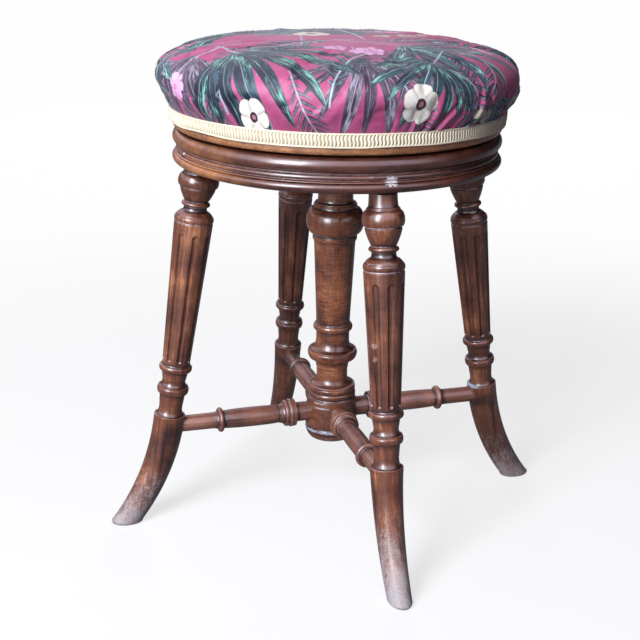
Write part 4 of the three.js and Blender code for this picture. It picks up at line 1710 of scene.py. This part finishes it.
@dataclass
class Ironwork:
    """Screw with its thread, socket, seat plate, wood screws and stop."""

    repeats: Repeats
    iron: Material
    steel: Material
    nodes: dict[str, Object]
    around: int = 72
    sharp: float = math.radians(35)
    lead: float = 0.00635
    thread_depth: float = 0.0021
    thread_root: float = 0.0038
    thread_crest: float = 0.0026
    thread_sink: float = 0.0001
    thread_start: float = 0.0025
    thread_stop: float = 0.0105
    neck_start: float = 0.012
    neck_full: float = 0.009
    tail_radius: float = 0.006
    spigot_radius: float = 0.007
    running_gap: float = 0.0004
    socket_barrel: float = 0.0152
    socket_bevel: float = 0.001
    head_slot: float = 0.001
    head_slot_depth: float = 0.0012
    head_height: float = 0.0025
    head_turn: float = 0.6
    point_length: float = 0.004

    def _wood_screw(self, node: str, up: bool) -> Mesh:
        """Makes one countersunk wood screw with a slotted head, at a node's place.

        Args:
            node: the CAD node it stands for.
            up: True where its head faces up.

        Returns:
            The screw's mesh, in place.
        """
        low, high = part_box(node)
        centre = (low + high) / 2
        head, shank = (high.x - low.x) / 2, (high.x - low.x) / 4
        length = high.z - low.z
        shaft = [(0, -length), (shank, self.point_length - length), (shank, -self.head_height)]
        points = [*shaft, (head, -GAP), (head, 0), (0, 0)]
        screw = skin("wood_screw", turned_rings(outlined(points, 0.0002), 24))
        slot = bpy.data.meshes.new("slot")
        work = bmesh.new()
        bmesh.ops.create_cube(work, size=1.0)
        work.to_mesh(slot)
        work.free()
        slot.transform(Matrix.Diagonal((4 * head, self.head_slot, 2 * self.head_slot_depth, 1)))
        screw = carved(screw, slot)
        spin = Matrix.Rotation(self.head_turn, 4, "Z")
        flip = Matrix.Identity(4) if up else Matrix.Rotation(math.pi, 4, "X")
        head_place = Matrix.Translation((centre.x, centre.y, high.z if up else low.z))
        screw.transform(head_place @ flip @ spin)
        return screw

    def _screws(self, kind: str, up: bool, body: Body) -> None:
        """Makes and dresses a ring of four wood screws.

        Args:
            kind: what the screws hold, as in their nodes' names.
            up: True where the heads face up.
            body: the body that they ride on.
        """
        names = [f"{kind}_screw_{i}" for i in range(1, 5)]
        first = self._wood_screw(names[0], up)
        mesh = self.repeats.round_axis(f"{kind}_screws", first, self.steel, len(names))
        mesh.set_sharp_from_angle(angle=self.sharp)
        publish(mesh, self.steel, body, Slot.STEEL, *names)

    def _seat_screw(self) -> None:
        """Makes and dresses the long screw of the seat, with its thread swept along a helix."""
        low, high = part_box("seat_screw")
        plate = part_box("seat_plate")[0].z
        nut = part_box("stop_washer")[1].z + GAP
        core = high.x - self.thread_depth
        tail = [(0, low.z), (self.tail_radius, low.z), (self.tail_radius, nut)]
        shaft = [(core, nut), (core, plate - self.neck_start)]
        neck = [(high.x, plate - self.neck_full), (high.x, plate - GAP)]
        spigot = [(self.spigot_radius, plate - GAP), (self.spigot_radius, high.z), (0, high.z)]
        profile = outlined([*tail, *shaft, *neck, *spigot], 0.0004)
        mesh = skin("screw_core", turned_rings(profile, self.around))
        start = nut + self.thread_start
        length = plate - self.thread_stop - start
        mesh.transform(Matrix.Translation((0, 0, -start)))
        values = {
            "Radius": core + self.thread_depth / 2 - self.thread_sink, "Turns": length / self.lead,
            "Length": length, "Root": self.thread_root, "Crest": self.thread_crest,
            "Depth": self.thread_depth, "Finish": self.steel,
        }
        mesh = self.repeats.apply("seat_screw_threaded", self.repeats.thread, mesh, values)
        mesh.transform(Matrix.Translation((0, 0, start)))
        mesh.shade_smooth()
        mesh.set_sharp_from_angle(angle=self.sharp)
        publish(mesh, self.steel, Body.SEAT, Slot.STEEL, "seat_screw")

    def _hollow(self, name: str, points: list[tuple[float, float]], eased: float) -> Mesh:
        """Revolves a closed outline that stands clear of the axis."""
        return skin(name, turned_rings(outlined([*points, points[0]], eased)[:-1], self.around), looped=True)

    def _castings(self) -> None:
        """Makes and dresses the socket and the seat plate."""
        low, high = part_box("screw_socket")
        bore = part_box("seat_screw")[1].x + self.running_gap
        bevel, under = self.socket_bevel, high.z - FLANGE
        mouth = [(bore, high.z - bevel), (bore + bevel, high.z), (high.x, high.z), (high.x, under)]
        barrel = [(self.socket_barrel, under), (self.socket_barrel, low.z), (bore, low.z)]
        socket = self._hollow("socket_turned", mouth + barrel, 0.0003)
        publish(socket, self.iron, Body.FRAME, Slot.IRON, "screw_socket")
        low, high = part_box("seat_plate")
        hole = self.spigot_radius + GAP
        square = [(hole, low.z), (high.x, low.z), (high.x, high.z), (hole, high.z)]
        plate = self._hollow("plate_turned", square, 0.0006)
        publish(plate, self.iron, Body.SEAT, Slot.IRON, "seat_plate")

    def build(self) -> None:
        """Builds and dresses the metal pieces."""
        self._castings()
        self._screws("socket", True, Body.FRAME)
        self._screws("plate", False, Body.SEAT)
        self._seat_screw()
        for name in ("stop_washer", "stop_nut"):
            materials = self.nodes[name].data.materials
            materials.clear()
            materials.append(self.steel)


# The seat


@dataclass
class SeatBoard:
    """Round board that carries the stuffing, worn pale along its edge."""

    finish: Material
    radius: float = 0.1635
    rounding: float = 0.004
    rim_wear: float = 0.62
    around: int = 256

    def build(self) -> None:
        """Builds the board and dresses it."""
        low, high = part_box("seat_board")
        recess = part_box("seat_plate")[1]
        hole = recess.x + GAP
        rise = recess.z + GAP - low.z
        turn = np.linspace(0, math.pi / 2, 9)
        edge = zip(
            self.radius - self.rounding * (1 - np.sin(turn)), self.rounding * (1 - np.cos(turn)),
            strict=True,
        )
        thickness = high.z - low.z
        under = [(0.0, rise), (hole, rise), (hole, 0.0)]
        profile = outlined([*under, *edge, (self.radius, thickness), (0.0, thickness)], 0.0005, 0.003)
        mesh = skin("seat_board_turned", turned_rings(profile, self.around))
        mark_wood(mesh, Matrix.Translation((0, 0, low.z)), profile)
        store(mesh, "grain", coordinates(mesh)[:, [1, 2, 0]])
        rim = reach_of(coordinates(mesh)) > self.radius - self.rounding
        store(mesh, "worn", np.where(rim, self.rim_wear, 0.0))
        publish(mesh, self.finish, Body.SEAT, Slot.WORN, "seat_board")


@dataclass(frozen=True)
class Pucker:
    """One pleat above the gimp: its bearing in degrees, width, height, depth and slant."""

    bearing: float
    width: float
    height: float
    depth: float
    slant: float


# Motifs of each layer: the foot on the flat cloth, the heading in degrees and the size
PRINT = {
    "fan_back": (
        (-0.03, 0.02, 75, 0.16), (-0.02, -0.13, -95, 0.11), (-0.15, -0.04, 205, 0.12),
        (0.14, -0.02, -5, 0.12), (0.09, 0.14, 110, 0.12), (-0.15, 0.1, 160, 0.12),
    ),
    "fern_back": (
        (-0.02, -0.03, 195, 0.17), (0.06, -0.04, -15, 0.15), (0.04, 0.05, 50, 0.16),
        (-0.09, 0.08, 130, 0.14), (0.21, -0.05, -70, 0.1), (0.085, -0.2, 110, 0.1), (-0.06, -0.17, 60, 0.1),
    ),
    "fan_middle": (
        (0.035, -0.075, -42, 0.14), (0.0, 0.07, 150, 0.14), (0.12, 0.09, 40, 0.13), (-0.17, 0.02, 185, 0.1),
        (0.105, -0.155, -38, 0.12),
    ),
    "fern_front": (
        (-0.12, 0.0, 165, 0.13), (0.02, 0.0, 85, 0.15), (0.17, -0.12, -20, 0.1), (0.17, 0.07, 95, 0.12),
        (-0.15, 0.14, 70, 0.11),
    ),
    "fern_small": (
        (-0.005, -0.16, -72, 0.085), (-0.09, -0.15, -95, 0.085), (0.06, -0.15, -35, 0.09),
        (0.1, -0.12, -75, 0.1), (-0.05, -0.05, 205, 0.1), (0.01, -0.045, 10, 0.1), (0.13, 0.04, 30, 0.1),
        (-0.04, 0.1, 100, 0.11), (0.08, 0.08, 60, 0.1), (-0.15, -0.09, 230, 0.085),
    ),
    "fan_front": (
        (-0.12, -0.055, -72, 0.165), (0.165, -0.015, -20, 0.13), (0.045, -0.135, -120, 0.095),
        (-0.08, 0.05, 140, 0.14), (0.05, 0.14, 75, 0.13),
    ),
    "fan_dark": ((0.185, -0.14, 62, 0.12), (0.21, -0.04, -88, 0.1), (-0.2, 0.1, 250, 0.11)),
    "beige_flower": (
        (0.045, 0.0, 20, 0.011), (0.07, 0.005, 70, 0.012), (0.095, 0.02, 140, 0.012),
        (-0.19, 0.03, 60, 0.012), (-0.185, 0.055, 10, 0.011), (0.105, -0.185, 80, 0.011),
        (0.178, -0.1, 40, 0.013), (0.168, -0.122, 100, 0.011), (0.123, -0.176, 30, 0.010),
        (0.0, 0.2, 0, 0.012),
    ),
    "pink_flower": (
        (-0.005, -0.1, 15, 0.0175), (-0.03, -0.082, 60, 0.012), (0.12, -0.075, 45, 0.014),
        (-0.185, -0.055, 10, 0.015), (0.07, 0.06, 30, 0.016), (-0.07, 0.18, 0, 0.015),
        (0.2, 0.06, 20, 0.015),
    ),
    "cream_flower": (
        (-0.145, -0.155, 20, 0.02), (0.02, -0.195, 50, 0.0215), (0.185, -0.075, 0, 0.018),
        (-0.02, 0.03, 70, 0.02), (0.1, 0.15, 0, 0.021), (-0.17, 0.11, 40, 0.02),
    ),
}
PUCKERS = (
    Pucker(-92, 0.0026, 0.022, 0.0018, 0.10), Pucker(-86, 0.0028, 0.030, 0.0024, 0.15),
    Pucker(-81, 0.0026, 0.040, 0.0036, 0.25), Pucker(-77, 0.0030, 0.042, 0.0040, 0.60),
    Pucker(-71, 0.0026, 0.026, 0.0020, 0.35), Pucker(-64, 0.0030, 0.050, 0.0042, 0.25),
    Pucker(-57, 0.0028, 0.030, 0.0022, 0.20), Pucker(-48, 0.0030, 0.042, 0.0036, 0.25),
    Pucker(-43, 0.0028, 0.032, 0.0024, 0.15),
)


@dataclass
class Cushion:
    """Stuffed seat under its printed cover."""

    finish: Material
    neck_radius: float = 0.165
    waist_radius: float = 0.1782
    waist_rise: float = 0.0298
    crown_rise: float = 0.0367
    hem: float = 0.012
    cover: float = 0.0012
    side_fullness: float = 1.6
    crown_breadth: float = 3.2
    crown_squareness: float = 2.5
    around: int = 600
    crown_rings: int = 52
    side_rings: int = 22
    voxel: float = 0.006
    cap: float = 0.0018
    slack: float = -0.02
    pressure: float = 4.0
    frames: int = 20
    small_puckers: int = 34
    board_top: float = field(init=False)

    def __post_init__(self) -> None:
        """Reads the height of the board."""
        self.board_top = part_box("seat_board")[1].z

    def _side(self, count: int) -> list[tuple[float, float]]:
        """Draws the outline from the board's top to the waist.

        Args:
            count: number of steps.

        Returns:
            Radius and height of each row.
        """
        rows = []
        for share in np.linspace(0, 1, count + 1):
            full = 1 - (1 - share) ** self.side_fullness
            radius = self.neck_radius + (self.waist_radius - self.neck_radius) * full
            rows.append((radius, self.board_top + self.waist_rise * share))
        return rows

    def _crown(self, count: int) -> list[tuple[float, float]]:
        """Draws the outline from just past the waist to the crown.

        Args:
            count: number of steps.

        Returns:
            Radius and height of each row.
        """
        rows = []
        for share in np.linspace(0, 1, count + 1)[1:]:
            radius = self.waist_radius * math.cos(share * math.pi / 2) ** 0.75
            level = max(1 - (radius / self.waist_radius) ** self.crown_breadth, 0.0)
            lift = self.crown_rise * level ** (1 / self.crown_squareness)
            rows.append((radius, self.board_top + self.waist_rise + lift))
        rows[-1] = (0.0, rows[-1][1])
        return rows

    def _profile(self, side: int, crown: int) -> np.ndarray:
        """Closes the outline of the cushion, from the middle of its base round to its crown.

        Args:
            side: steps below the waist.
            crown: steps above the waist.

        Returns:
            Rows of radius and height.
        """
        inner = self.neck_radius - self.cover
        base, hem = self.board_top + GAP, self.board_top - self.hem
        under = [(inner * share, base) for share in np.linspace(0, 1, 8)]
        edge = [(inner, hem), (self.neck_radius, hem), (self.neck_radius, hem + self.hem / 2)]
        return np.array(under + edge + self._side(side) + self._crown(crown))

    def _stuffed(self) -> tuple[np.ndarray, np.ndarray]:
        """Blows the cover up over its stuffing as cloth.

        Returns:
            Places of the cloth at rest, and how far each one moves.
        """
        mesh = skin("stuffed", turned_rings(self._profile(10, 20), 120))
        cloth = linked("stuffed", mesh)
        remesh = cloth.modifiers.new("Remesh", "REMESH")
        remesh.mode = "VOXEL"
        remesh.voxel_size = self.voxel
        even = outcome(cloth)
        cloth.modifiers.clear()
        cloth.data = even
        rest = coordinates(even)
        held = cloth.vertex_groups.new(name="held")
        held.add([int(i) for i in np.flatnonzero(rest[:, 2] < self.board_top + 0.003)], 1.0, "REPLACE")
        modifier = cloth.modifiers.new("Cloth", "CLOTH")
        settings = modifier.settings
        settings.use_pressure = True
        settings.uniform_pressure_force = self.pressure
        settings.shrink_min = self.slack
        settings.vertex_group_mass = held.name
        settings.effector_weights.gravity = 0
        modifier.point_cache.frame_end = self.frames
        scene = bpy.context.scene
        for frame in range(1, self.frames + 1):
            scene.frame_set(frame)
        travel = coordinates(outcome(cloth)) - rest
        scene.frame_set(1)
        bpy.data.objects.remove(cloth)
        return rest, travel

    def _settle(self, places: np.ndarray) -> np.ndarray:
        """Gives the smooth form the creases that the cloth takes, and keeps its outline.

        Args:
            places: corners of the smooth form.

        Returns:
            The corners with the creases in them.
        """
        rest, travel = self._stuffed()
        tree = KDTree(len(rest))
        for i, point in enumerate(rest):
            tree.insert(point, i)
        tree.balance()
        moved = np.zeros_like(places)
        for i, point in enumerate(places):
            found = tree.find_n(point, 4)
            weight = np.array([1 / (gap + self.voxel / 10) for _, _, gap in found])
            near = travel[[index for _, index, _ in found]]
            moved[i] = (near * weight[:, None]).sum(axis=0) / weight.sum()
        radial = places[:, :2] / np.maximum(reach_of(places), MERGE)[:, None]
        out = (moved[:, :2] * radial).sum(axis=1)
        bins = np.round(places[:, 2] * 4000) * 1000 + np.round(reach_of(places) * 4000)
        for values in (out, moved[:, 2]):
            _, group_of = np.unique(bins, return_inverse=True)
            mean = np.bincount(group_of, values) / np.bincount(group_of)
            values -= mean[group_of]
        shift = np.stack([radial[:, 0] * out, radial[:, 1] * out, moved[:, 2]], axis=1)
        size = np.linalg.norm(shift, axis=1)
        shift *= (np.minimum(size, self.cap) / np.maximum(size, MERGE))[:, None]
        free = np.clip((places[:, 2] - self.board_top - 0.002) / 0.01, 0, 1)
        return places + shift * free[:, None]

    def _puckered(self, places: np.ndarray) -> np.ndarray:
        """Draws the cover into pleats above the gimp.

        Args:
            places: corners of the cover.

        Returns:
            The corners with the pleats in them.
        """
        rng = np.random.default_rng(11)
        pleats = list(PUCKERS)
        for k in range(self.small_puckers):
            bearing = -38 + k * 262 / self.small_puckers + rng.uniform(-3, 3)
            width, height = rng.uniform(0.003, 0.0055), rng.uniform(0.014, 0.032)
            depth, slant = rng.uniform(0.0004, 0.0013), rng.uniform(-0.3, 0.3)
            pleats.append(Pucker(bearing, width, height, depth, slant))
        angle = bearing_of(places)
        reach = reach_of(places)
        rise = places[:, 2] - self.board_top
        push = np.zeros(len(places))
        outer = (reach > self.neck_radius - self.cover / 2) & (rise > -self.hem / 2)
        for pleat in pleats:
            turn = angle - math.radians(pleat.bearing)
            turn = (turn + math.pi) % FULL_TURN - math.pi
            aside = turn * self.neck_radius - pleat.slant * np.maximum(rise, 0)
            fall = np.clip(1 - rise / pleat.height, 0, 1) ** 1.3 * np.clip((rise + 0.006) / 0.008, 0, 1)
            ridge = np.exp(-(((aside - 1.5 * pleat.width) / pleat.width) ** 2))
            groove = np.exp(-((aside / (0.7 * pleat.width)) ** 2))
            push += pleat.depth * fall * (0.75 * ridge - groove)
        push[~outer] = 0
        scale = (reach + push) / np.maximum(reach, MERGE)
        return np.stack([places[:, 0] * scale, places[:, 1] * scale, places[:, 2]], axis=1)

    def _cloth(self, places: np.ndarray) -> np.ndarray:
        """Flattens the cover from the crown out.

        Args:
            places: corners of the smooth form.

        Returns:
            Each corner's place on the uncut cloth.
        """
        rows = np.array(self._side(60) + self._crown(160))[::-1]
        way = np.concatenate([[0], np.cumsum(np.linalg.norm(np.diff(rows, axis=0), axis=1))])
        centre = self.board_top + self.waist_rise
        bearing = np.arctan2(rows[:, 1] - centre, rows[:, 0])[::-1]
        reach = reach_of(places)
        here = np.arctan2(places[:, 2] - centre, reach)
        out = np.interp(here, bearing, way[::-1])
        angle = bearing_of(places)
        return np.stack([out * np.cos(angle), out * np.sin(angle), np.zeros(len(places))], axis=1)

    @staticmethod
    def _print(
        mesh: Mesh, cloth: np.ndarray, name: str, motifs: tuple[tuple[float, ...], ...], middle: float,
    ) -> None:
        """Gives each face the nearest motif of a layer, and stores the way across that motif.

        Args:
            mesh: the cover.
            cloth: each corner's place on the flat cloth.
            name: name of the layer.
            motifs: the layer's motifs.
            middle: where a motif's middle lies along it, as a share of its size.
        """
        corner = np.zeros(len(mesh.loops), np.int32)
        mesh.loops.foreach_get("vertex_index", corner)
        total = np.zeros(len(mesh.polygons), np.int32)
        mesh.polygons.foreach_get("loop_total", total)
        face = np.repeat(np.arange(len(total)), total)
        spot = cloth[corner, :2]
        middles = np.stack([np.bincount(face, spot[:, k]) / total for k in (0, 1)], axis=1)
        table = np.array(motifs)
        foot, heading, size = table[:, :2], np.radians(table[:, 2]), table[:, 3]
        way = np.stack([np.cos(heading), np.sin(heading)], axis=1)
        centre = foot + way * (size * middle)[:, None]
        apart = np.linalg.norm(middles[:, None] - centre[None], axis=2) / size
        chosen = apart.argmin(axis=1)[face]
        offset = spot - foot[chosen]
        along = (offset * way[chosen]).sum(axis=1) / size[chosen]
        side = np.stack([-way[chosen][:, 1], way[chosen][:, 0]], axis=1)
        across = (offset * side).sum(axis=1) / size[chosen]
        number = 0.13 + chosen * 0.37
        store(mesh, name, np.stack([along, across, number], axis=1), "CORNER")

    def build(self) -> None:
        """Builds the cushion and dresses it."""
        mesh = skin("cushion", turned_rings(self._profile(self.side_rings, self.crown_rings), self.around))
        places = coordinates(mesh)
        cloth = self._cloth(places)
        places = self._settle(places)
        place(mesh, self._puckered(places))
        store(mesh, "cloth", cloth)
        for name, motifs in PRINT.items():
            self._print(mesh, cloth, name, motifs, 0.0 if "flower" in name else 0.5)
        piece = publish(mesh, self.finish, Body.SEAT, Slot.COTTON, "cushion_cover", "stuffing")


@dataclass
class Gimp:
    """Cream braid round the seat: a tape with slanting ribs between plain edges."""

    repeats: Repeats
    finish: Material
    inner: float = 0.1653
    tape: float = 0.0006
    ribs: int = 312
    rib_half_width: float = 0.00136
    rib_height: float = 0.0011
    rib_wave: float = 0.0007
    rib_slant: float = 0.0005
    rib_sway: float = 0.0012
    cord_radius: float = 0.0009
    margin: float = 0.0018
    flare: float = 0.0008
    waver: float = 0.0016
    around: int = 312

    def _edge(self, low: float, high: float, share: float) -> Mesh:
        """Makes a flat band with rounded edges that leans out with the cover.

        Args:
            low: its lower edge.
            high: its upper edge.
            share: where it lies up the gimp, from 0 to 1.

        Returns:
            The band's mesh.
        """
        half = (high - low) / 2
        turn = np.arange(12) * FULL_TURN / 12
        round_x = np.sign(np.cos(turn)) * np.abs(np.cos(turn)) ** 0.7
        round_z = np.sign(np.sin(turn)) * np.abs(np.sin(turn)) ** 0.6
        reach = self.inner + self.tape + self.flare * share
        points = np.stack([reach + self.cord_radius * round_x, (low + high) / 2 + half * round_z], axis=1)
        return skin("edge", turned_rings(points, self.around), looped=True)

    def _band(self, low: float, high: float) -> Mesh:
        """Flat tape behind the ribs."""
        corners = [(0, low), (self.tape, low), (self.tape + self.flare, high), (self.flare, high)]
        return skin("tape", turned_rings(np.array(corners) + (self.inner, 0), self.around), looped=True)

    def _rib(self, low: float, high: float) -> Mesh:
        """Makes one curved rib at the front of +X.

        Args:
            low: its lower end.
            high: its upper end.

        Returns:
            The rib's mesh.
        """
        rings = []
        turn = np.arange(7) * math.pi / 6
        for share in np.linspace(0, 1, 9):
            aside = self.rib_wave * math.sin(share * FULL_TURN) + self.rib_slant * (share * 2 - 1)
            full = 0.55 + 0.45 * math.sin(math.pi * min(max(share, 0.08), 0.92)) ** 0.4
            reach = self.inner + self.tape + self.flare * share - self.tape / 2
            x = reach + (self.rib_height * full + self.tape / 2) * np.sin(turn)
            y = aside + self.rib_half_width * full * np.cos(turn)
            rings.append(np.stack([x, y, np.full(7, low + (high - low) * share)], axis=1))
        return skin("rib", np.array(rings))

    def build(self) -> None:
        """Builds the braid and dresses it."""
        low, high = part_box("gimp")
        bottom, top = low.z, high.z
        rib = self._rib(bottom + self.margin * 0.7, top - self.margin * 0.8)
        ribs = self.repeats.round_axis("ribs", rib, self.finish, self.ribs, self.rib_sway)
        edges = [self._edge(bottom, bottom + self.margin, 0.08), self._edge(top - self.margin, top, 0.95)]
        mesh = joined("gimp_braid", [self._band(bottom + self.tape, top - self.tape), ribs, *edges])
        places = coordinates(mesh)
        share = (places[:, 2] - bottom) / (top - bottom)
        proud = reach_of(places) - self.inner - self.tape - self.flare * share
        bearing = bearing_of(places)
        slack = np.sin(bearing * 5 + 2.2) * 0.5 + np.sin(bearing * 11 + 0.6) * 0.3
        places[:, 2] += np.clip(slack, 0, 1) * self.waver * (1 - share)
        place(mesh, places)
        store(mesh, "proud", np.clip(proud / self.cord_radius, 0, 1))
        publish(mesh, self.finish, Body.SEAT, Slot.GIMP, "gimp")


# The stage


@dataclass(frozen=True)
class Lamp:
    """One soft rectangular lamp."""

    name: str
    spot: Point
    size: tuple[float, float]
    watts: float
    colour: Colour
    shines: bool = True


@dataclass
class Stage:
    """Plain pale floor, soft lamps and the camera at the photograph's angle."""

    eye: Point = (-0.36996, -1.14983, 0.62189)
    forward: Point = (0.27937, 0.90345, -0.32516)
    rightward: Point = (0.95695, -0.28973, 0.01721)
    lens: float = 68.03
    floor_radius: float = 30.0
    floor_colour: Colour = (0.95, 0.95, 0.955)
    floor_bounce: Colour = (0.12, 0.12, 0.145)
    gloss_share: float = 0.12
    room_near: float = 0.15
    room_far: float = 0.02
    sky: Point = (-0.48, -0.84, 0.25)
    sky_gloss: float = 2.6
    sky_behind: float = 0.5
    sky_colour: Colour = (0.97, 0.84, 1.0)
    window: Point = (-0.78, -0.49, 0.39)
    white_near: float = 0.7
    white_far: float = 0.985
    near: float = 0.4
    far: float = 1.5
    aim: Point = (0.0, 0.0, 0.35)
    lamps: tuple[Lamp, ...] = (
        Lamp("window", (-2.06, -1.74, 1.5), (1.1, 2.2), 150, (0.9, 0.94, 1.0)),
        Lamp("overhead", (-0.6, -0.9, 2.5), (1.4, 1.4), 7, (1.0, 0.98, 0.95)),
        Lamp("far side", (0.85, 2.6, 0.8), (1.6, 1.2), 34, (0.96, 0.96, 1.0), shines=False),
    )

    @staticmethod
    def _rays(graph: Graph) -> tuple[Term, Term, Term]:
        """Tells rays apart in a shader.

        Args:
            graph: graph of the shader.

        Returns:
            Rays that the camera sees straight or through glass, rays off a gloss and rays off a
            dull face.
        """
        paths = graph.add("ShaderNodeLightPath")
        names = ("Is Camera Ray", "Is Transmission Ray", "Is Glossy Ray", "Is Diffuse Ray")
        straight, through, glossy, dull = (Term(graph, paths.outputs[name]) for name in names)
        return straight.most(through), glossy, dull

    def _floor(self) -> None:
        """Lays the floor."""
        mesh = bpy.data.meshes.new("floor")
        work = bmesh.new()
        bmesh.ops.create_circle(work, cap_ends=True, segments=96, radius=self.floor_radius)
        work.to_mesh(mesh)
        work.free()
        material, graph, shader = blank("pale floor")
        seen, glossy, bounced = self._rays(graph)
        colour = graph.mix(bounced.most(glossy), self.floor_colour, self.floor_bounce)
        graph.feed(shader, Base_Color=colour, Roughness=0.9, Specular_IOR_Level=0.1)
        glow = graph.add("ShaderNodeEmission", {"Color": (1, 1, 1, 1), "Strength": 1.0})
        white = graph.fade(
            graph.measure("LENGTH", graph.place()), self.near, self.far, self.white_near, self.white_far,
        )
        share = seen.most(glossy * self.gloss_share) * white
        blended = graph.add("ShaderNodeMixShader", {0: share, 1: shader.outputs[0], 2: glow.outputs[0]})
        graph.feed(graph.find("OUTPUT_MATERIAL"), Surface=blended.outputs[0])
        mesh.materials.append(material)
        floor = linked("floor", mesh)

    def _world(self) -> None:
        """Sets the light of the room, bright on the window's side and dim on the other."""
        world = bpy.data.worlds.new("room")
        world.use_nodes = True
        bpy.context.scene.world = world
        graph = Graph(world.node_tree)
        back = graph.find("BACKGROUND")
        way = graph.add("ShaderNodeTexCoord").outputs["Generated"]
        near = graph.fade(graph.measure("DOT_PRODUCT", way, self.window), -0.35, 0.95)
        seen, glossy, _ = self._rays(graph)
        room = near * (self.room_near - self.room_far) + self.room_far
        above = graph.measure("DOT_PRODUCT", way, self.sky)
        east, _, height = graph.split(way)
        behind = graph.fade(east, 0.55, 0.1) * self.sky_behind
        sky = graph.fade(above, -0.05, 0.5).most(behind) * graph.fade(height, 0.03, 0.32)
        room = room.most(sky * glossy * self.sky_gloss)
        colour = graph.mix(1.0 - seen, (1.0, 1.0, 1.0), self.sky_colour)
        graph.feed(back, Strength=seen.most(room), Color=colour)

    def _lamp(self, lamp: Lamp) -> None:
        """Hangs one lamp, aimed at the middle of the stool.

        Args:
            lamp: the lamp.
        """
        light = bpy.data.lights.new(lamp.name, "AREA")
        light.shape = "RECTANGLE"
        light.size, light.size_y = lamp.size
        light.energy = lamp.watts
        light.color = lamp.colour
        piece = linked(lamp.name, light)
        turn = (Vector(self.aim) - Vector(lamp.spot)).to_track_quat("-Z", "Y").to_matrix().to_4x4()
        piece.matrix_world = Matrix.Translation(lamp.spot) @ turn
        piece.visible_glossy = lamp.shines

    def _camera(self) -> None:
        """Sets the camera."""
        forward, right = Vector(self.forward), Vector(self.rightward)
        above = right.cross(forward)
        turn = Matrix((right, above, -forward)).transposed().to_4x4()
        camera = bpy.data.cameras.new("camera")
        camera.lens = self.lens
        camera.sensor_width = 36
        camera.clip_end = 100
        eye = linked("camera", camera)
        eye.matrix_world = Matrix.Translation(self.eye) @ turn
        bpy.context.scene.camera = eye

    def build(self) -> None:
        """Builds the stage."""
        bpy.context.scene.view_settings.view_transform = "Standard"
        self._floor()
        self._world()
        for lamp in self.lamps:
            self._lamp(lamp)
        self._camera()


LEG_CHIPS = (
    Chip((0.161, -0.002, 0.1176), (0.012, 0.014, 0.0015), srgb(176, 192, 208)),
    Chip((0.1575, -0.0075, 0.1165), (0.005, 0.004, 0.0034), srgb(176, 192, 206)),
    Chip((0.158, -0.0105, 0.1085), (0.004, 0.0022, 0.0052), srgb(150, 160, 174)),
    Chip((-0.0135, -0.1685, 0.2385), (0.0026, 0.006, 0.003), srgb(158, 122, 114)),
    Chip((-0.0128, -0.1704, 0.226), (0.0018, 0.006, 0.0034), srgb(142, 104, 94)),
    Chip((-0.149, -0.014, 0.3728), (0.012, 0.012, 0.0009), srgb(128, 120, 130)),
)
RIM_CHIPS = (
    Chip((-0.0007, -0.1635, 0.3915), (0.0068, 0.006, 0.0052)),
    Chip((-0.1623, -0.02, 0.3945), (0.006, 0.0035, 0.0016)),
    Chip((-0.1532, -0.057, 0.3955), (0.004, 0.0032, 0.0016)),
    Chip((-0.0191, -0.1624, 0.3948), (0.005, 0.004, 0.0009), srgb(150, 140, 144)),
)
COLUMN_CHIPS = (
    Chip((-0.0186, -0.0229, 0.1152), (0.009, 0.012, 0.0009), srgb(168, 158, 164)),
    Chip((-0.0212, -0.0205, 0.1203), (0.007, 0.012, 0.0007), srgb(160, 148, 154)),
)


def main() -> None:
    """Builds every piece in order."""
    logging.basicConfig(level=logging.INFO, format="%(name)s %(message)s")
    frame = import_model()
    effects, repeats = Effects(), Repeats()
    leg_wood = Mahogany("leg mahogany", scuffed=True, chips=LEG_CHIPS).build(effects)
    rim_wood = Mahogany(
        "rim mahogany", middle=srgb(80, 44, 35), light=srgb(126, 76, 54), bare=srgb(176, 116, 72), rub=0.75,
        polish=0.28, chips=RIM_CHIPS,
    ).build(effects)
    column_wood = Mahogany(
        "column mahogany", pale=srgb(176, 172, 186), middle=srgb(122, 70, 46), light=srgb(182, 118, 78),
        figure=0.95, streak=0.5, scuff=srgb(186, 178, 184), scuffed=True, scuff_clear=0.0905,
        scuff_thick=0.078, chips=COLUMN_CHIPS,
    ).build(effects)
    stretcher_wood = Mahogany(
        "stretcher mahogany", middle=srgb(122, 78, 62), light=srgb(156, 114, 94), polish=0.38,
    ).build(effects)
    board_wood = Mahogany(
        "board mahogany", middle=srgb(132, 80, 48), light=srgb(190, 130, 82), bare=srgb(216, 156, 104),
        streak=1.6, rub=0.62, polish=0.4,
    ).build(effects)
    iron = Metal("cast iron", srgb(58, 54, 52), srgb(84, 58, 44), 0.5, 0.85).build()
    steel = Metal("oiled steel", srgb(150, 146, 140), srgb(92, 72, 58), 0.3, 1.0).build()
    Legs(repeats, leg_wood).build()
    Stretchers(stretcher_wood).build()
    Column(column_wood).build()
    Platform(rim_wood).build()
    Ironwork(repeats, iron, steel, frame["nodes"]).build()
    SeatBoard(board_wood).build()
    Cushion(Cotton().build(effects)).build()
    Gimp(repeats, Braid().build()).build()
    Stage().build()


if __name__ == "__main__":
    main()
